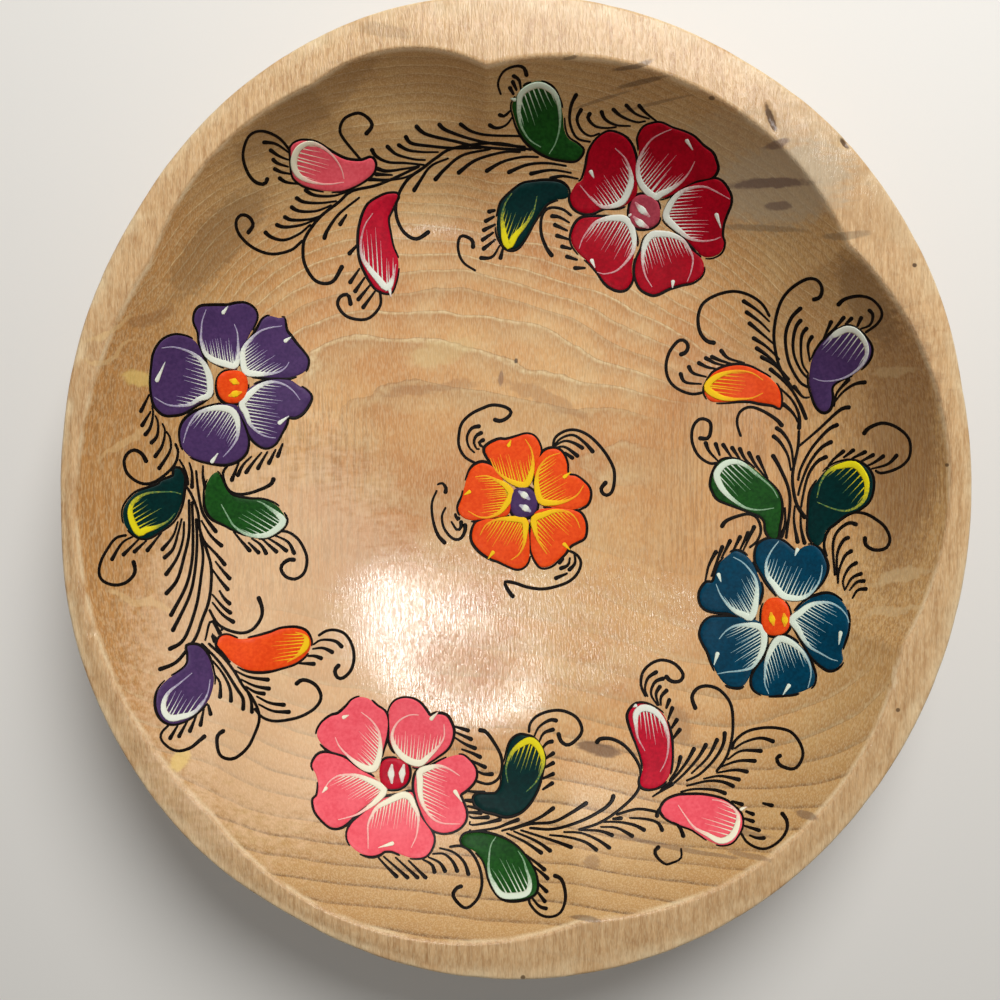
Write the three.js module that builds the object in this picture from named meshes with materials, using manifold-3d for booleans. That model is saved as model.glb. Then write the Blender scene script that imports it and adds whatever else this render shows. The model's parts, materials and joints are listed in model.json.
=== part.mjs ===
// A hand-carved oval dish of pale wood with five flowers, leaves and buds painted inside it.
// Millimetres, +Z up. The origin is the middle of the flat foot. +Y runs along the grain.
import * as THREE from 'three';
import { mergeVertices } from 'three/addons/utils/BufferGeometryUtils.js';
import Module from 'manifold-3d';

const wasm = await Module();
wasm.setup();

// Blank: the hewn block before it is hollowed
const width = 347;
const length = 375;
const height = 65;
const footWidth = 196;
const footEase = 1.5;
const sideHeight = 20;
const rimEase = 1.6;
const flankFullness = 0.62;
const blankSegments = 72;
const flankSteps = 7;

// The scoops and the painting are laid out on a grid, whose columns and rows spread with the width and length
const columnCount = 347;
const rowCount = 375;
const spread = { across: width / columnCount, along: length / rowCount };

// Hollow: six overlapping gouged scoops, whose walls meet in cusps at the rim
const hollowDepth = 48;
const wallSteepness = 4;
const scoopSegments = 60;
const scoopSteps = 9;
const clearAboveRim = 5;
const scoops = [
  { name: 'upper left', angle: 127, reach: 171.5, radius: 112 },
  { name: 'upper right', angle: 67, reach: 166.5, radius: 114 },
  { name: 'right', angle: 0, reach: 162.5, radius: 127 },
  { name: 'lower right', angle: -59, reach: 172, radius: 120 },
  { name: 'lower left', angle: -114, reach: 174, radius: 132 },
  { name: 'left', angle: -173, reach: 166, radius: 158 },
];

// Paint: films of enamel that lie on the wood, each a little proud of it
const filmThickness = 0.5;
const filmClearance = 0.5;
const petalGap = 1.0;
const eyeGap = 1.2;
const petalSquareness = 2.6;
const petalNotch = 3.2;
const notchShare = 0.34;
const petalSegments = 24;
const eyeSegments = 14;
const leafSegments = 20;
const leafTailShare = 0.34;
const leafHeadShare = 1.2;
const leafSwellRatio = 1.4;

const wood = 0xc99a62;
const woodRoughness = 0.35;
const enamelRoughness = 0.25;
const enamel = {
  crimson: 0xa80d22,
  rose: 0xb04452,
  violet: 0x4b3460,
  orange: 0xf0501a,
  teal: 0x0c4668,
  coral: 0xf0606f,
  green: 0x1e5a24,
  darkGreen: 0x062f33,
};

// Each petal is given by the direction of its middle and how far it reaches from the flower's centre
const flowers = [
  {
    name: 'red_flower',
    at: [54.4, 115.3],
    petalColor: enamel.crimson,
    eyeColor: enamel.rose,
    eyeSize: [13, 14.5],
    petals: [
      { angle: 136, reach: 31.5 },
      { angle: 57, reach: 34.5 },
      { angle: -5, reach: 34.5 },
      { angle: -66, reach: 33 },
      { angle: -136, reach: 31.5 },
    ],
  },
  {
    name: 'purple_flower',
    at: [-117.5, 42],
    petalColor: enamel.violet,
    eyeColor: enamel.orange,
    eyeSize: [13, 14],
    petals: [
      { angle: 94, reach: 33.5 },
      { angle: 38, reach: 32 },
      { angle: -30, reach: 31 },
      { angle: -108, reach: 32 },
      { angle: 167, reach: 32.5 },
    ],
  },
  {
    name: 'orange_flower',
    at: [3.7, -6.2],
    petalColor: enamel.orange,
    eyeColor: enamel.violet,
    eyeSize: [11.5, 13.5],
    petals: [
      { angle: 102, reach: 28.5 },
      { angle: 27, reach: 28 },
      { angle: -46, reach: 28.5 },
      { angle: -118, reach: 27.5 },
      { angle: 170, reach: 27.5 },
    ],
  },
  {
    name: 'blue_flower',
    at: [108.2, -53.7],
    petalColor: enamel.teal,
    eyeColor: enamel.orange,
    eyeSize: [12, 15.5],
    petals: [
      { angle: 68, reach: 31.5 },
      { angle: 143, reach: 31 },
      { angle: -142, reach: 30.5 },
      { angle: -79, reach: 32.5 },
      { angle: -14, reach: 31.5 },
    ],
  },
  {
    name: 'pink_flower',
    at: [-50.3, -119.3],
    petalColor: enamel.coral,
    eyeColor: enamel.crimson,
    eyeSize: [12.5, 13],
    petals: [
      { angle: 133, reach: 33.5 },
      { angle: 58, reach: 29.5 },
      { angle: -18, reach: 33 },
      { angle: -93, reach: 34.5 },
      { angle: -163, reach: 33 },
    ],
  },
];

// Each leaf or bud runs from its pointed tail to its round head, with its middle pushed sideways by bend
const leaves = [
  {
    name: 'top_green_leaf',
    tail: [26.5, 134], head: [2.5, 159], width: 15, bend: -3.5,
    color: enamel.green,
  },
  {
    name: 'top_dark_leaf',
    tail: [22.5, 126.5], head: [-7, 101], width: 14, bend: 3,
    color: enamel.darkGreen,
  },
  {
    name: 'top_pink_bud',
    tail: [-57.5, 133], head: [-91, 131.5], width: 16, bend: 3,
    color: enamel.coral,
  },
  {
    name: 'top_red_bud',
    tail: [-50.5, 122.5], head: [-55, 82.5], width: 12.5, bend: 3.5,
    color: enamel.crimson,
  },
  {
    name: 'left_dark_leaf',
    tail: [-133, 7.5], head: [-155, -16.5], width: 14, bend: -3,
    color: enamel.darkGreen,
  },
  {
    name: 'left_green_leaf',
    tail: [-126, 6], head: [-95.5, -18.5], width: 15, bend: 3,
    color: enamel.green,
  },
  {
    name: 'left_orange_bud',
    tail: [-122.5, -61], head: [-85, -64], width: 13, bend: 3,
    color: enamel.orange,
  },
  {
    name: 'left_purple_bud',
    tail: [-129, -64.5], head: [-140, -95], width: 15, bend: -4,
    color: enamel.violet,
  },
  {
    name: 'right_green_leaf',
    tail: [110.5, -21], head: [83.5, 11.5], width: 15, bend: 3.5,
    color: enamel.green,
  },
  {
    name: 'right_dark_leaf',
    tail: [122, -23], head: [143, 10.5], width: 14.5, bend: -3,
    color: enamel.darkGreen,
  },
  {
    name: 'right_orange_bud',
    tail: [112, 35.5], head: [81.5, 46], width: 14, bend: 4,
    color: enamel.orange,
  },
  {
    name: 'right_purple_bud',
    tail: [125, 32.5], head: [139.5, 64], width: 14, bend: -3.5,
    color: enamel.violet,
  },
  {
    name: 'bottom_dark_leaf',
    tail: [-16.5, -133], head: [9.5, -104.5], width: 15, bend: 4,
    color: enamel.darkGreen,
  },
  {
    name: 'bottom_green_leaf',
    tail: [-21.5, -142], head: [5.5, -163.5], width: 14, bend: -3.5,
    color: enamel.green,
  },
  {
    name: 'bottom_red_bud',
    tail: [57.5, -125.5], head: [51.5, -91], width: 14, bend: -2,
    color: enamel.crimson,
  },
  {
    name: 'bottom_pink_bud',
    tail: [62, -128.5], head: [91.5, -140.5], width: 13.5, bend: -3,
    color: enamel.coral,
  },
];

const floorHeight = height - hollowDepth;
const radians = THREE.MathUtils.degToRad;

// Where the middle of a scoop lies in plan
function scoopCentre(scoop) {
  const offset = scoop.reach - scoop.radius;
  const angle = radians(scoop.angle);
  return new THREE.Vector2(offset * Math.cos(angle), offset * Math.sin(angle));
}

// Height of one scoop's surface at a distance from its middle
function scoopHeight(scoop, distance) {
  return floorHeight + hollowDepth * (distance / scoop.radius) ** wallSteepness;
}

// Merges the vertices that a geometry repeats and drops the triangles that this collapses
function welded(geometry) {
  const bare = geometry.index ? geometry.clone() : geometry;
  bare.deleteAttribute('normal');
  bare.deleteAttribute('uv');
  const merged = mergeVertices(bare, 1e-4);
  const kept = [];
  const index = merged.index.array;
  for (let i = 0; i < index.length; i += 3) {
    const [a, b, c] = [index[i], index[i + 1], index[i + 2]];
    if (a !== b && b !== c && c !== a) {
      kept.push(a, b, c);
    }
  }
  merged.setIndex(kept);
  return merged;
}

// A profile of [radius, height] points turned about the Z axis
function turned(profile, segments) {
  const points = profile.map(([radius, z]) => new THREE.Vector2(radius, z));
  const geometry = new THREE.LatheGeometry(points, segments);
  geometry.rotateX(Math.PI / 2);
  return welded(geometry);
}

function toSolid(geometry) {
  return new wasm.Manifold(
    new wasm.Mesh({
      numProp: 3,
      vertProperties: new Float32Array(geometry.attributes.position.array),
      triVerts: new Uint32Array(geometry.index.array),
    }),
  );
}

function toGeometry(solid) {
  const mesh = solid.getMesh();
  const geometry = new THREE.BufferGeometry();
  geometry.setAttribute('position', new THREE.BufferAttribute(mesh.vertProperties, mesh.numProp));
  geometry.setIndex(new THREE.BufferAttribute(mesh.triVerts, 1));
  return geometry;
}

function piece(name, geometry, color, roughness) {
  geometry.computeVertexNormals();
  const material = new THREE.MeshStandardMaterial({ color, roughness, metalness: 0 });
  const mesh = new THREE.Mesh(geometry, material);
  mesh.name = name;
  return mesh;
}

// The blank: a flat foot, a full round flank and an upright edge, turned and then stretched along the grain
function blankGeometry() {
  const outer = width / 2;
  const foot = footWidth / 2;
  const shoulder = height - sideHeight;
  const flank = new THREE.CubicBezierCurve(
    new THREE.Vector2(foot, footEase),
    new THREE.Vector2(foot + (outer - foot) * flankFullness, footEase),
    new THREE.Vector2(outer, shoulder * (1 - flankFullness)),
    new THREE.Vector2(outer, shoulder),
  );
  const profile = [
    [0, 0],
    [foot - footEase, 0],
    ...flank.getPoints(flankSteps).map((point) => [point.x, point.y]),
    [outer, height - rimEase],
    [outer - rimEase, height],
    [0, height],
  ];
  const geometry = turned(profile, blankSegments);
  geometry.scale(1, length / width, 1);
  return geometry;
}

// One scoop's cutter: the gouged surface carried on above the rim, closed there, and lifted off the wood
function scoopGeometry(scoop, lift) {
  const top = hollowDepth + clearAboveRim;
  const outside = scoop.radius * (top / hollowDepth) ** (1 / wallSteepness);
  const profile = [];
  for (let step = 0; step <= scoopSteps; step += 1) {
    const distance = (outside * step) / scoopSteps;
    profile.push([distance, scoopHeight(scoop, distance)]);
  }
  profile.push([0, floorHeight + top]);
  const geometry = turned(profile, scoopSegments);
  const centre = scoopCentre(scoop);
  geometry.translate(centre.x, centre.y, lift);
  geometry.scale(spread.across, spread.along, 1);
  return geometry;
}

// All the scoops together, lifted off the wood
function hollow(lift) {
  const cutters = scoops.map((scoop) => toSolid(scoopGeometry(scoop, lift)));
  return cutters.reduce((joined, cutter) => joined.add(cutter));
}

function bowl() {
  const solid = toSolid(blankGeometry()).subtract(hollow(0));
  return piece('bowl', toGeometry(solid), wood, woodRoughness);
}

// The skin of space over the hollowed wood that every film of paint is a patch of
const paintLayer = hollow(filmClearance).subtract(hollow(filmClearance + filmThickness));

// A film: the patch of the paint layer inside an outline in plan, which place(turn) draws point by point
function film(name, color, corners, place) {
  const outline = new THREE.Shape();
  for (let corner = 0; corner < corners; corner += 1) {
    const turn = (2 * Math.PI * corner) / corners;
    const [x, y] = place(Math.cos(turn), Math.sin(turn));
    outline[corner === 0 ? 'moveTo' : 'lineTo'](x * spread.across, y * spread.along);
  }
  outline.closePath();
  const prism = new THREE.ExtrudeGeometry(outline, { depth: height, bevelEnabled: false });
  const patch = toSolid(welded(prism)).intersect(paintLayer);
  return piece(name, toGeometry(patch), color, enamelRoughness);
}

// Angles of the two sides of a petal, halfway to its neighbours
function petalSides(petals, index) {
  const angleTo = (other) => {
    const turn = petals[other].angle - petals[index].angle;
    return THREE.MathUtils.euclideanModulo(turn + 180, 360) - 180;
  };
  const turns = petals.map((petal, other) => (other === index ? 360 : angleTo(other)));
  const after = Math.min(...turns.filter((turn) => turn > 0));
  const before = Math.max(...turns.filter((turn) => turn < 0));
  return [radians(petals[index].angle + before / 2), radians(petals[index].angle + after / 2)];
}

// A petal fills its sector beside its neighbours, with a square-shouldered end and a notch in it
function petal(flower, index) {
  const { reach } = flower.petals[index];
  const [low, high] = petalSides(flower.petals, index);
  const inner = Math.max(...flower.eyeSize) / 2 + eyeGap;
  const place = (along, across) => {
    const roundness = Math.abs(along) ** petalSquareness + Math.abs(across) ** petalSquareness;
    const swell = roundness ** (-1 / petalSquareness);
    const out = along * swell;
    const side = across * swell;
    const notch = petalNotch * Math.max(0, out) ** 2 * Math.exp(-((side / notchShare) ** 2));
    const radius = inner + ((reach - inner) * (1 + out)) / 2 - notch;
    const gap = Math.asin(petalGap / 2 / radius);
    const angle = (low + high) / 2 + side * ((high - low) / 2 - gap);
    return [flower.at[0] + radius * Math.cos(angle), flower.at[1] + radius * Math.sin(angle)];
  };
  return film(`${flower.name}_petal_${index + 1}`, flower.petalColor, petalSegments, place);
}

function eye(flower) {
  const [wide, tall] = flower.eyeSize;
  const place = (along, across) => [flower.at[0] + (along * wide) / 2, flower.at[1] + (across * tall) / 2];
  return film(`${flower.name}_centre`, flower.eyeColor, eyeSegments, place);
}

// A leaf or bud: full at its head and drawn to a bent tail
function leaf({ name, tail, head, width: fullWidth, bend, color }) {
  const start = new THREE.Vector2(...tail);
  const end = new THREE.Vector2(...head);
  const across = new THREE.Vector2(start.y - end.y, end.x - start.x).normalize();
  const middle = start.clone().add(end).multiplyScalar(0.5).addScaledVector(across, 2 * bend);
  const spine = new THREE.QuadraticBezierCurve(start, middle, end);
  const place = (along, sideways) => {
    const share = (1 + along) / 2;
    const point = spine.getPoint(share);
    const heading = spine.getTangent(share);
    const fullness = THREE.MathUtils.lerp(leafTailShare, leafHeadShare, Math.min(1, share * leafSwellRatio));
    const half = (fullWidth / 2) * fullness;
    return [point.x - heading.y * sideways * half, point.y + heading.x * sideways * half];
  };
  return film(name, color, leafSegments, place);
}

const dish = new THREE.Group();
dish.add(bowl());
for (const flower of flowers) {
  flower.petals.forEach((_, index) => dish.add(petal(flower, index)));
  dish.add(eye(flower));
}
for (const shape of leaves) {
  dish.add(leaf(shape));
}

export default dish;
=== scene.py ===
"""Painted wooden bowl: an oval dish hewn from one block, varnished, and painted inside by brush.

Metres, +Z up. The origin is the middle of the flat foot, and the grain runs along Y.
Paint, stains and patches of painted shade, sheen and highlight are placed by pixels of the view from
straight above. Each is set down on the hollow from there, so that it lies on the wood seen from any side.
"""

import json
import logging
import math
from collections.abc import Iterator
from dataclasses import dataclass, field
from enum import Enum

import bpy
import numpy as np
from mathutils import Matrix, Vector
from mathutils.geometry import delaunay_2d_cdt

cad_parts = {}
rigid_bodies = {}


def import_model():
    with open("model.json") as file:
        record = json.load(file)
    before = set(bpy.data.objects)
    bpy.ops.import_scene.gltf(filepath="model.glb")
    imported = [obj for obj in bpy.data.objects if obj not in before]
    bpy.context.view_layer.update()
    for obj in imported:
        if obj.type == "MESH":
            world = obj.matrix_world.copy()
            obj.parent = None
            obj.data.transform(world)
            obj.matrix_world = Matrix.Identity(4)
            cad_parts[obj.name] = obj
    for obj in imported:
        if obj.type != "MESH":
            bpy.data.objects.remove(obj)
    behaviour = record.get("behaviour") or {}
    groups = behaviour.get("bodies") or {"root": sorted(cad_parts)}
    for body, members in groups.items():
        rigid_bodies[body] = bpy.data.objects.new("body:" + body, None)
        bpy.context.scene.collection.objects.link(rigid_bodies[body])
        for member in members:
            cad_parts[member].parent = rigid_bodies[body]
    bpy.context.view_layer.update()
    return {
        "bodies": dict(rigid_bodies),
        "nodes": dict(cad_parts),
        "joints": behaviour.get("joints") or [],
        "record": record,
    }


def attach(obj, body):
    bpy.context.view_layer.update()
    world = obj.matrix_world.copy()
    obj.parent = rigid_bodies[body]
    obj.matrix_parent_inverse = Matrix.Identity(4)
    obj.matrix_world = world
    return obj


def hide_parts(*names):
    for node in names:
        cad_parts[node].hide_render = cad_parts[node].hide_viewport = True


log = logging.getLogger("bowl")

MM = 0.001
BRUSH_SEED = 11
TOLERANCE = 1e-4
NEVER_ZERO = 1e-9

MATH = "ShaderNodeMath"
VECTOR_MATH = "ShaderNodeVectorMath"
MAP_RANGE = "ShaderNodeMapRange"
NOISE = "ShaderNodeTexNoise"
MIX = "ShaderNodeMix"
JOIN = "ShaderNodeCombineXYZ"
SPLIT = "ShaderNodeSeparateXYZ"
PLACE = "ShaderNodeTexCoord"

# Node settings that come up often.
PLUS = {"operation": "ADD"}
MINUS = {"operation": "SUBTRACT"}
TIMES = {"operation": "MULTIPLY"}
OVER = {"operation": "DIVIDE"}
TIMES_PLUS = {"operation": "MULTIPLY_ADD"}
DOT = {"operation": "DOT_PRODUCT", "out": "Value"}
LENGTH = {"operation": "LENGTH", "out": "Value"}
EASED = {"interpolation_type": "SMOOTHSTEP"}

# The Mix node's inputs for numbers and for colours share their names, so they go by number.
NUMBER_A, NUMBER_B = 2, 3
COLOUR_A, COLOUR_B = 6, 7
COLOURS = {"out": 2, "data_type": "RGBA"}

Link = bpy.types.NodeSocket
Sizes = dict[str, Link]
Colour = tuple[float, float, float, float]
Triple = tuple[float, float, float]
Pair = tuple[float, float]
Dice = np.random.Generator


def linear(hex_colour: str) -> Colour:
    """Turns an sRGB hex colour to linear light.

    Args:
        hex_colour: Six hex digits after a hash.

    Returns:
        Red, green, blue and alpha in linear light.
    """
    parts = [int(hex_colour[i : i + 2], 16) / 255 for i in (1, 3, 5)]
    light = [c / 12.92 if c <= 0.04045 else ((c + 0.055) / 1.055) ** 2.4 for c in parts]
    return (*light, 1.0)


@dataclass
class Graph:
    """A node tree under construction."""

    tree: bpy.types.NodeTree

    def add(
        self,
        kind: str,
        *inputs: object,
        out: int | str = 0,
        named: dict[int | str, object] | None = None,
        **settings: object,
    ) -> Link:
        """Adds a node with its settings and links.

        Args:
            kind: The node's type.
            inputs: A value or an output to link for each input in order, or None to leave one alone.
            out: Which output to return.
            named: Values or links for inputs given by name or number.
            settings: The node's own properties.

        Returns:
            The chosen output of the new node.
        """
        node = self.tree.nodes.new(kind)
        for name, value in settings.items():
            setattr(node, name, value)
        given = [(i, v) for i, v in enumerate(inputs) if v is not None]
        for key, value in given + list((named or {}).items()):
            if isinstance(value, bpy.types.NodeSocket):
                self.tree.links.new(value, node.inputs[key])
            else:
                node.inputs[key].default_value = value
        return node.outputs[out]

    def end(self, shape: Link, material: object) -> bpy.types.NodeTree:
        """Ends a geometry tree: smooth faces, real instances, and their material.

        Args:
            shape: Link to the finished shape.
            material: The material or a link to it.

        Returns:
            The tree.
        """
        smooth = self.add("GeometryNodeSetShadeSmooth", shape)
        real = self.add("GeometryNodeRealizeInstances", smooth)
        dressed = self.add("GeometryNodeSetMaterial", real, named={"Material": material})
        self.tree.links.new(dressed, self.tree.nodes.new("NodeGroupOutput").inputs[0])
        return self.tree


def shape_tree(name: str, sizes: dict[str, str]) -> tuple[Graph, Sizes]:
    """Starts a geometry node tree with named inputs.

    Args:
        name: The tree's name.
        sizes: Socket type of each named input.

    Returns:
        The graph, and the outputs of its group input by name.
    """
    tree = bpy.data.node_groups.new(name, "GeometryNodeTree")
    tree.interface.new_socket("Geometry", in_out="INPUT", socket_type="NodeSocketGeometry")
    tree.interface.new_socket("Geometry", in_out="OUTPUT", socket_type="NodeSocketGeometry")
    for label, kind in sizes.items():
        tree.interface.new_socket(label, in_out="INPUT", socket_type=kind)
    entry = tree.nodes.new("NodeGroupInput")
    return Graph(tree), {socket.name: socket for socket in entry.outputs if socket.name}


def grown(obj: bpy.types.Object, tree: bpy.types.NodeTree, sizes: dict[str, object]) -> bpy.types.Object:
    """Runs a geometry node tree on an object and keeps the result as its plain mesh.

    Args:
        obj: The object that holds the guide mesh.
        tree: The tree to run.
        sizes: Values of the tree's named inputs.

    Returns:
        The same object, with the finished mesh and no modifier.
    """
    modifier = obj.modifiers.new("shape", "NODES")
    modifier.node_group = tree
    for item in tree.interface.items_tree:
        if item.item_type == "SOCKET" and item.in_out == "INPUT" and item.name in sizes:
            modifier[item.identifier] = sizes[item.name]
    evaluated = obj.evaluated_get(bpy.context.evaluated_depsgraph_get())
    mesh = bpy.data.meshes.new_from_object(evaluated)
    obj.modifiers.remove(modifier)
    guide, obj.data = obj.data, mesh
    bpy.data.meshes.remove(guide)
    mesh.name = obj.name
    return obj


def linked(name: str, data: bpy.types.ID) -> bpy.types.Object:
    """Puts a mesh, a lamp or a camera into the scene as an object at the origin.

    Args:
        name: The object's name.
        data: What it shows.

    Returns:
        The object.
    """
    obj = bpy.data.objects.new(name, data)
    bpy.context.scene.collection.objects.link(obj)
    return obj


def new_material(name: str) -> tuple[bpy.types.Material, Graph, bpy.types.Node]:
    """Starts a material.

    Args:
        name: The material's name.

    Returns:
        The material, its graph, and the Principled BSDF in it.
    """
    made = bpy.data.materials.new(name)
    made.use_nodes = True
    return made, Graph(made.node_tree), made.node_tree.nodes["Principled BSDF"]


@dataclass(frozen=True)
class Enamel:
    """Oil enamel laid on with a soft brush: opaque and glossy, a little cloudy and uneven from the brush.

    Bristle marks are really about 0.3 mm wide, too fine to show, so they are drawn coarser.
    """

    name: str
    colour: str
    shade: str
    slot: str = ""
    roughness: float = 0.38
    roughness_spread: Pair = (0.85, 1.2)
    gloss: float = 0.09
    cloud_mm: float = 9.0
    cloud_share: float = 0.7
    cloud_band: Pair = (0.3, 0.7)
    shade_band: Pair = (0.65, 1.05)
    brush_width_mm: float = 1.4
    ridge_mm: float = 0.03
    ridge_strength: float = 0.5

    def material(self) -> bpy.types.Material:
        """Finds the material, or makes it at its first use.

        Returns:
            The material.
        """
        if found := bpy.data.materials.get(self.name):
            return found
        made, graph, shader = new_material(self.name)
        place = graph.add(PLACE, out="Object")
        cloudy = {"Scale": 1 / (self.cloud_mm * MM), "Detail": 3.0, "Roughness": 0.6}
        cloud = graph.add(NOISE, place, named=cloudy)
        bristle = graph.add(NOISE, place, named={"Scale": 1 / (self.brush_width_mm * MM), "Detail": 2.0})
        both = graph.add(MATH, cloud, self.cloud_share, bristle, **TIMES_PLUS)
        share = graph.add(MAP_RANGE, both, *self.shade_band, 0.0, 1.0)
        tones = {COLOUR_A: linear(self.colour), COLOUR_B: linear(self.shade)}
        colour = graph.add(MIX, share, named=tones, **COLOURS)
        smoothest, roughest = (self.roughness * part for part in self.roughness_spread)
        rough = graph.add(MAP_RANGE, cloud, *self.cloud_band, smoothest, roughest)
        height = {"Strength": self.ridge_strength, "Distance": self.ridge_mm * MM, "Height": bristle}
        bump = graph.add("ShaderNodeBump", named=height)
        for socket, source in (("Base Color", colour), ("Roughness", rough), ("Normal", bump)):
            graph.tree.links.new(source, shader.inputs[socket])
        shader.inputs["Specular IOR Level"].default_value = self.gloss
        return made


@dataclass(frozen=True)
class ThinPaint:
    """Pale enamel drawn out by a liner brush: solid where it was full, and glazed where it ran dry."""

    name: str
    full: str
    dry: str
    roughness: float = 0.4
    gloss: float = 0.09
    patch_mm: float = 0.9
    patch_share: float = 0.7
    full_band: Pair = (0.45, 1.05)

    def material(self) -> bpy.types.Material:
        """Finds the material, or makes it at its first use.

        Returns:
            The material.
        """
        if found := bpy.data.materials.get(self.name):
            return found
        made, graph, shader = new_material(self.name)
        place = graph.add(PLACE, out="Object")
        load = graph.add("ShaderNodeAttribute", out="Fac", attribute_name="load")
        grain = graph.add(NOISE, place, named={"Scale": 1 / (self.patch_mm * MM), "Detail": 2.0})
        patchy = graph.add(MATH, grain, self.patch_share, load, **TIMES_PLUS)
        share = graph.add(MAP_RANGE, patchy, *self.full_band, 0.0, 1.0)
        tones = {COLOUR_A: linear(self.dry), COLOUR_B: linear(self.full)}
        colour = graph.add(MIX, share, named=tones, **COLOURS)
        graph.tree.links.new(colour, shader.inputs["Base Color"])
        shader.inputs["Roughness"].default_value = self.roughness
        shader.inputs["Specular IOR Level"].default_value = self.gloss
        return made


@dataclass(frozen=True)
class Scoop:
    """A round sweep of the gouge: its direction, reach, radius, and its bottom above the floor."""

    angle: float
    reach: float
    radius: float
    lift: float = 0.0

    @property
    def middle(self) -> Triple:
        """Where the middle of the sweep lies in plan."""
        turn, offset = math.radians(self.angle), self.reach - self.radius
        return (offset * math.cos(turn), offset * math.sin(turn), 0.0)


@dataclass(frozen=True)
class Hollow:
    """The hewn inside: seven sweeps that meet in ridges, sharp at the rim and fading towards the floor."""

    scoops: tuple[Scoop, ...] = (
        Scoop(124.0, 0.1722, 0.110),
        Scoop(110.0, 0.1737, 0.060, 0.020),
        Scoop(69.0, 0.1667, 0.120),
        Scoop(4.0, 0.1652, 0.122),
        Scoop(-60.0, 0.1707, 0.128),
        Scoop(-110.0, 0.1767, 0.121),
        Scoop(-135.0, 0.1705, 0.162),
    )
    rim: float = 0.065
    floor: float = 0.017
    steepness: float = 4.0
    arris_ease: float = 0.0012
    floor_blend: Pair = (0.0006, 0.003)
    rim_blend: Pair = (0.0020, 0.0004)
    floor_span: Pair = (0.017, 0.026)
    rim_span: Pair = (0.038, 0.062)

    @property
    def depth(self) -> float:
        """How deep the hollow is."""
        return self.rim - self.floor

    def height(self, x: np.ndarray, y: np.ndarray) -> np.ndarray:
        """Height of the wood under points in plan, as far as the rim.

        Args:
            x: Places across the grain.
            y: Places along the grain.

        Returns:
            The height at each place.
        """
        sweeps = []
        for scoop in self.scoops:
            away = np.hypot(x - scoop.middle[0], y - scoop.middle[1]) / scoop.radius
            sweeps.append(self.floor + scoop.lift + (self.depth - scoop.lift) * away**self.steepness)
        low = np.minimum.reduce(sweeps)
        near_floor = np.interp(low, self.floor_span, self.floor_blend)
        width = np.minimum(near_floor, np.interp(low, self.rim_span, self.rim_blend))
        level = sweeps[0]
        for sweep in sweeps[1:]:
            level = self.softer(level, sweep, width)
        return self.softer(level, self.rim, self.arris_ease)

    @staticmethod
    def softer(first: np.ndarray, second: np.ndarray | float, width: np.ndarray | float) -> np.ndarray:
        """The lower of two heights, rounded over where they meet, as the smooth minimum node does it."""
        near = np.maximum(width - np.abs(first - second), 0.0) / width
        return np.minimum(first, second) - near**3 * width / 6

    def height_nodes(self, graph: Graph, place: Link, size: Sizes) -> Link:
        """The same height as nodes.

        Args:
            graph: The tree to add to.
            place: Link to the place in plan.
            size: The tree's named inputs.

        Returns:
            Link to the height.
        """
        sweeps = []
        for count in range(1, len(self.scoops) + 1):
            middle, radius, lift = (size[f"Scoop {count} {part}"] for part in ("middle", "radius", "lift"))
            away = graph.add(VECTOR_MATH, place, middle, operation="DISTANCE", out="Value")
            share = graph.add(MATH, away, radius, **OVER)
            steep = graph.add(MATH, share, size["Wall steepness"], operation="POWER")
            rise = graph.add(MATH, size["Hollow depth"], lift, **MINUS)
            bottom = graph.add(MATH, size["Floor height"], lift, **PLUS)
            sweeps.append(graph.add(MATH, steep, rise, bottom, **TIMES_PLUS))
        low = sweeps[0]
        for sweep in sweeps[1:]:
            low = graph.add(MATH, low, sweep, operation="MINIMUM")
        near_floor = graph.add(MAP_RANGE, low, *self.floor_span, *self.floor_blend)
        near_rim = graph.add(MAP_RANGE, low, *self.rim_span, *self.rim_blend)
        width = graph.add(MATH, near_floor, near_rim, operation="MINIMUM")
        level = sweeps[0]
        for sweep in sweeps[1:]:
            level = graph.add(MATH, level, sweep, width, operation="SMOOTH_MIN")
        return graph.add(MATH, level, size["Height"], size["Arris ease"], operation="SMOOTH_MIN")


@dataclass(frozen=True)
class View:
    """The camera: it looks straight down on the bowl, with the grain upright in the picture."""

    place: Triple = (-0.0061, -0.0049, 0.445)
    lens_mm: float = 36.1
    sensor_mm: float = 36.0
    picture: int = 1000
    nearest: float = 0.01

    @property
    def reach(self) -> float:
        """Distance, in pixels, at which the picture stands from the eye."""
        return self.lens_mm / self.sensor_mm * self.picture

    def camera(self) -> None:
        """Adds the camera to the scene and looks through it."""
        data = bpy.data.cameras.new("camera")
        data.lens, data.sensor_width, data.sensor_fit = self.lens_mm, self.sensor_mm, "HORIZONTAL"
        data.clip_start = self.nearest
        camera = linked("camera", data)
        camera.location = self.place
        bpy.context.scene.camera = camera

    def at_height(self, pixels: np.ndarray, z: np.ndarray | float) -> tuple[np.ndarray, np.ndarray]:
        """Where pixels fall on level planes.

        Args:
            pixels: Points in the picture, one a row.
            z: Height of the plane of each.

        Returns:
            The places across and along the grain.
        """
        scale = (self.place[2] - z) / self.reach
        right, down = (pixels - self.picture / 2).T
        return self.place[0] + right * scale, self.place[1] - down * scale


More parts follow.
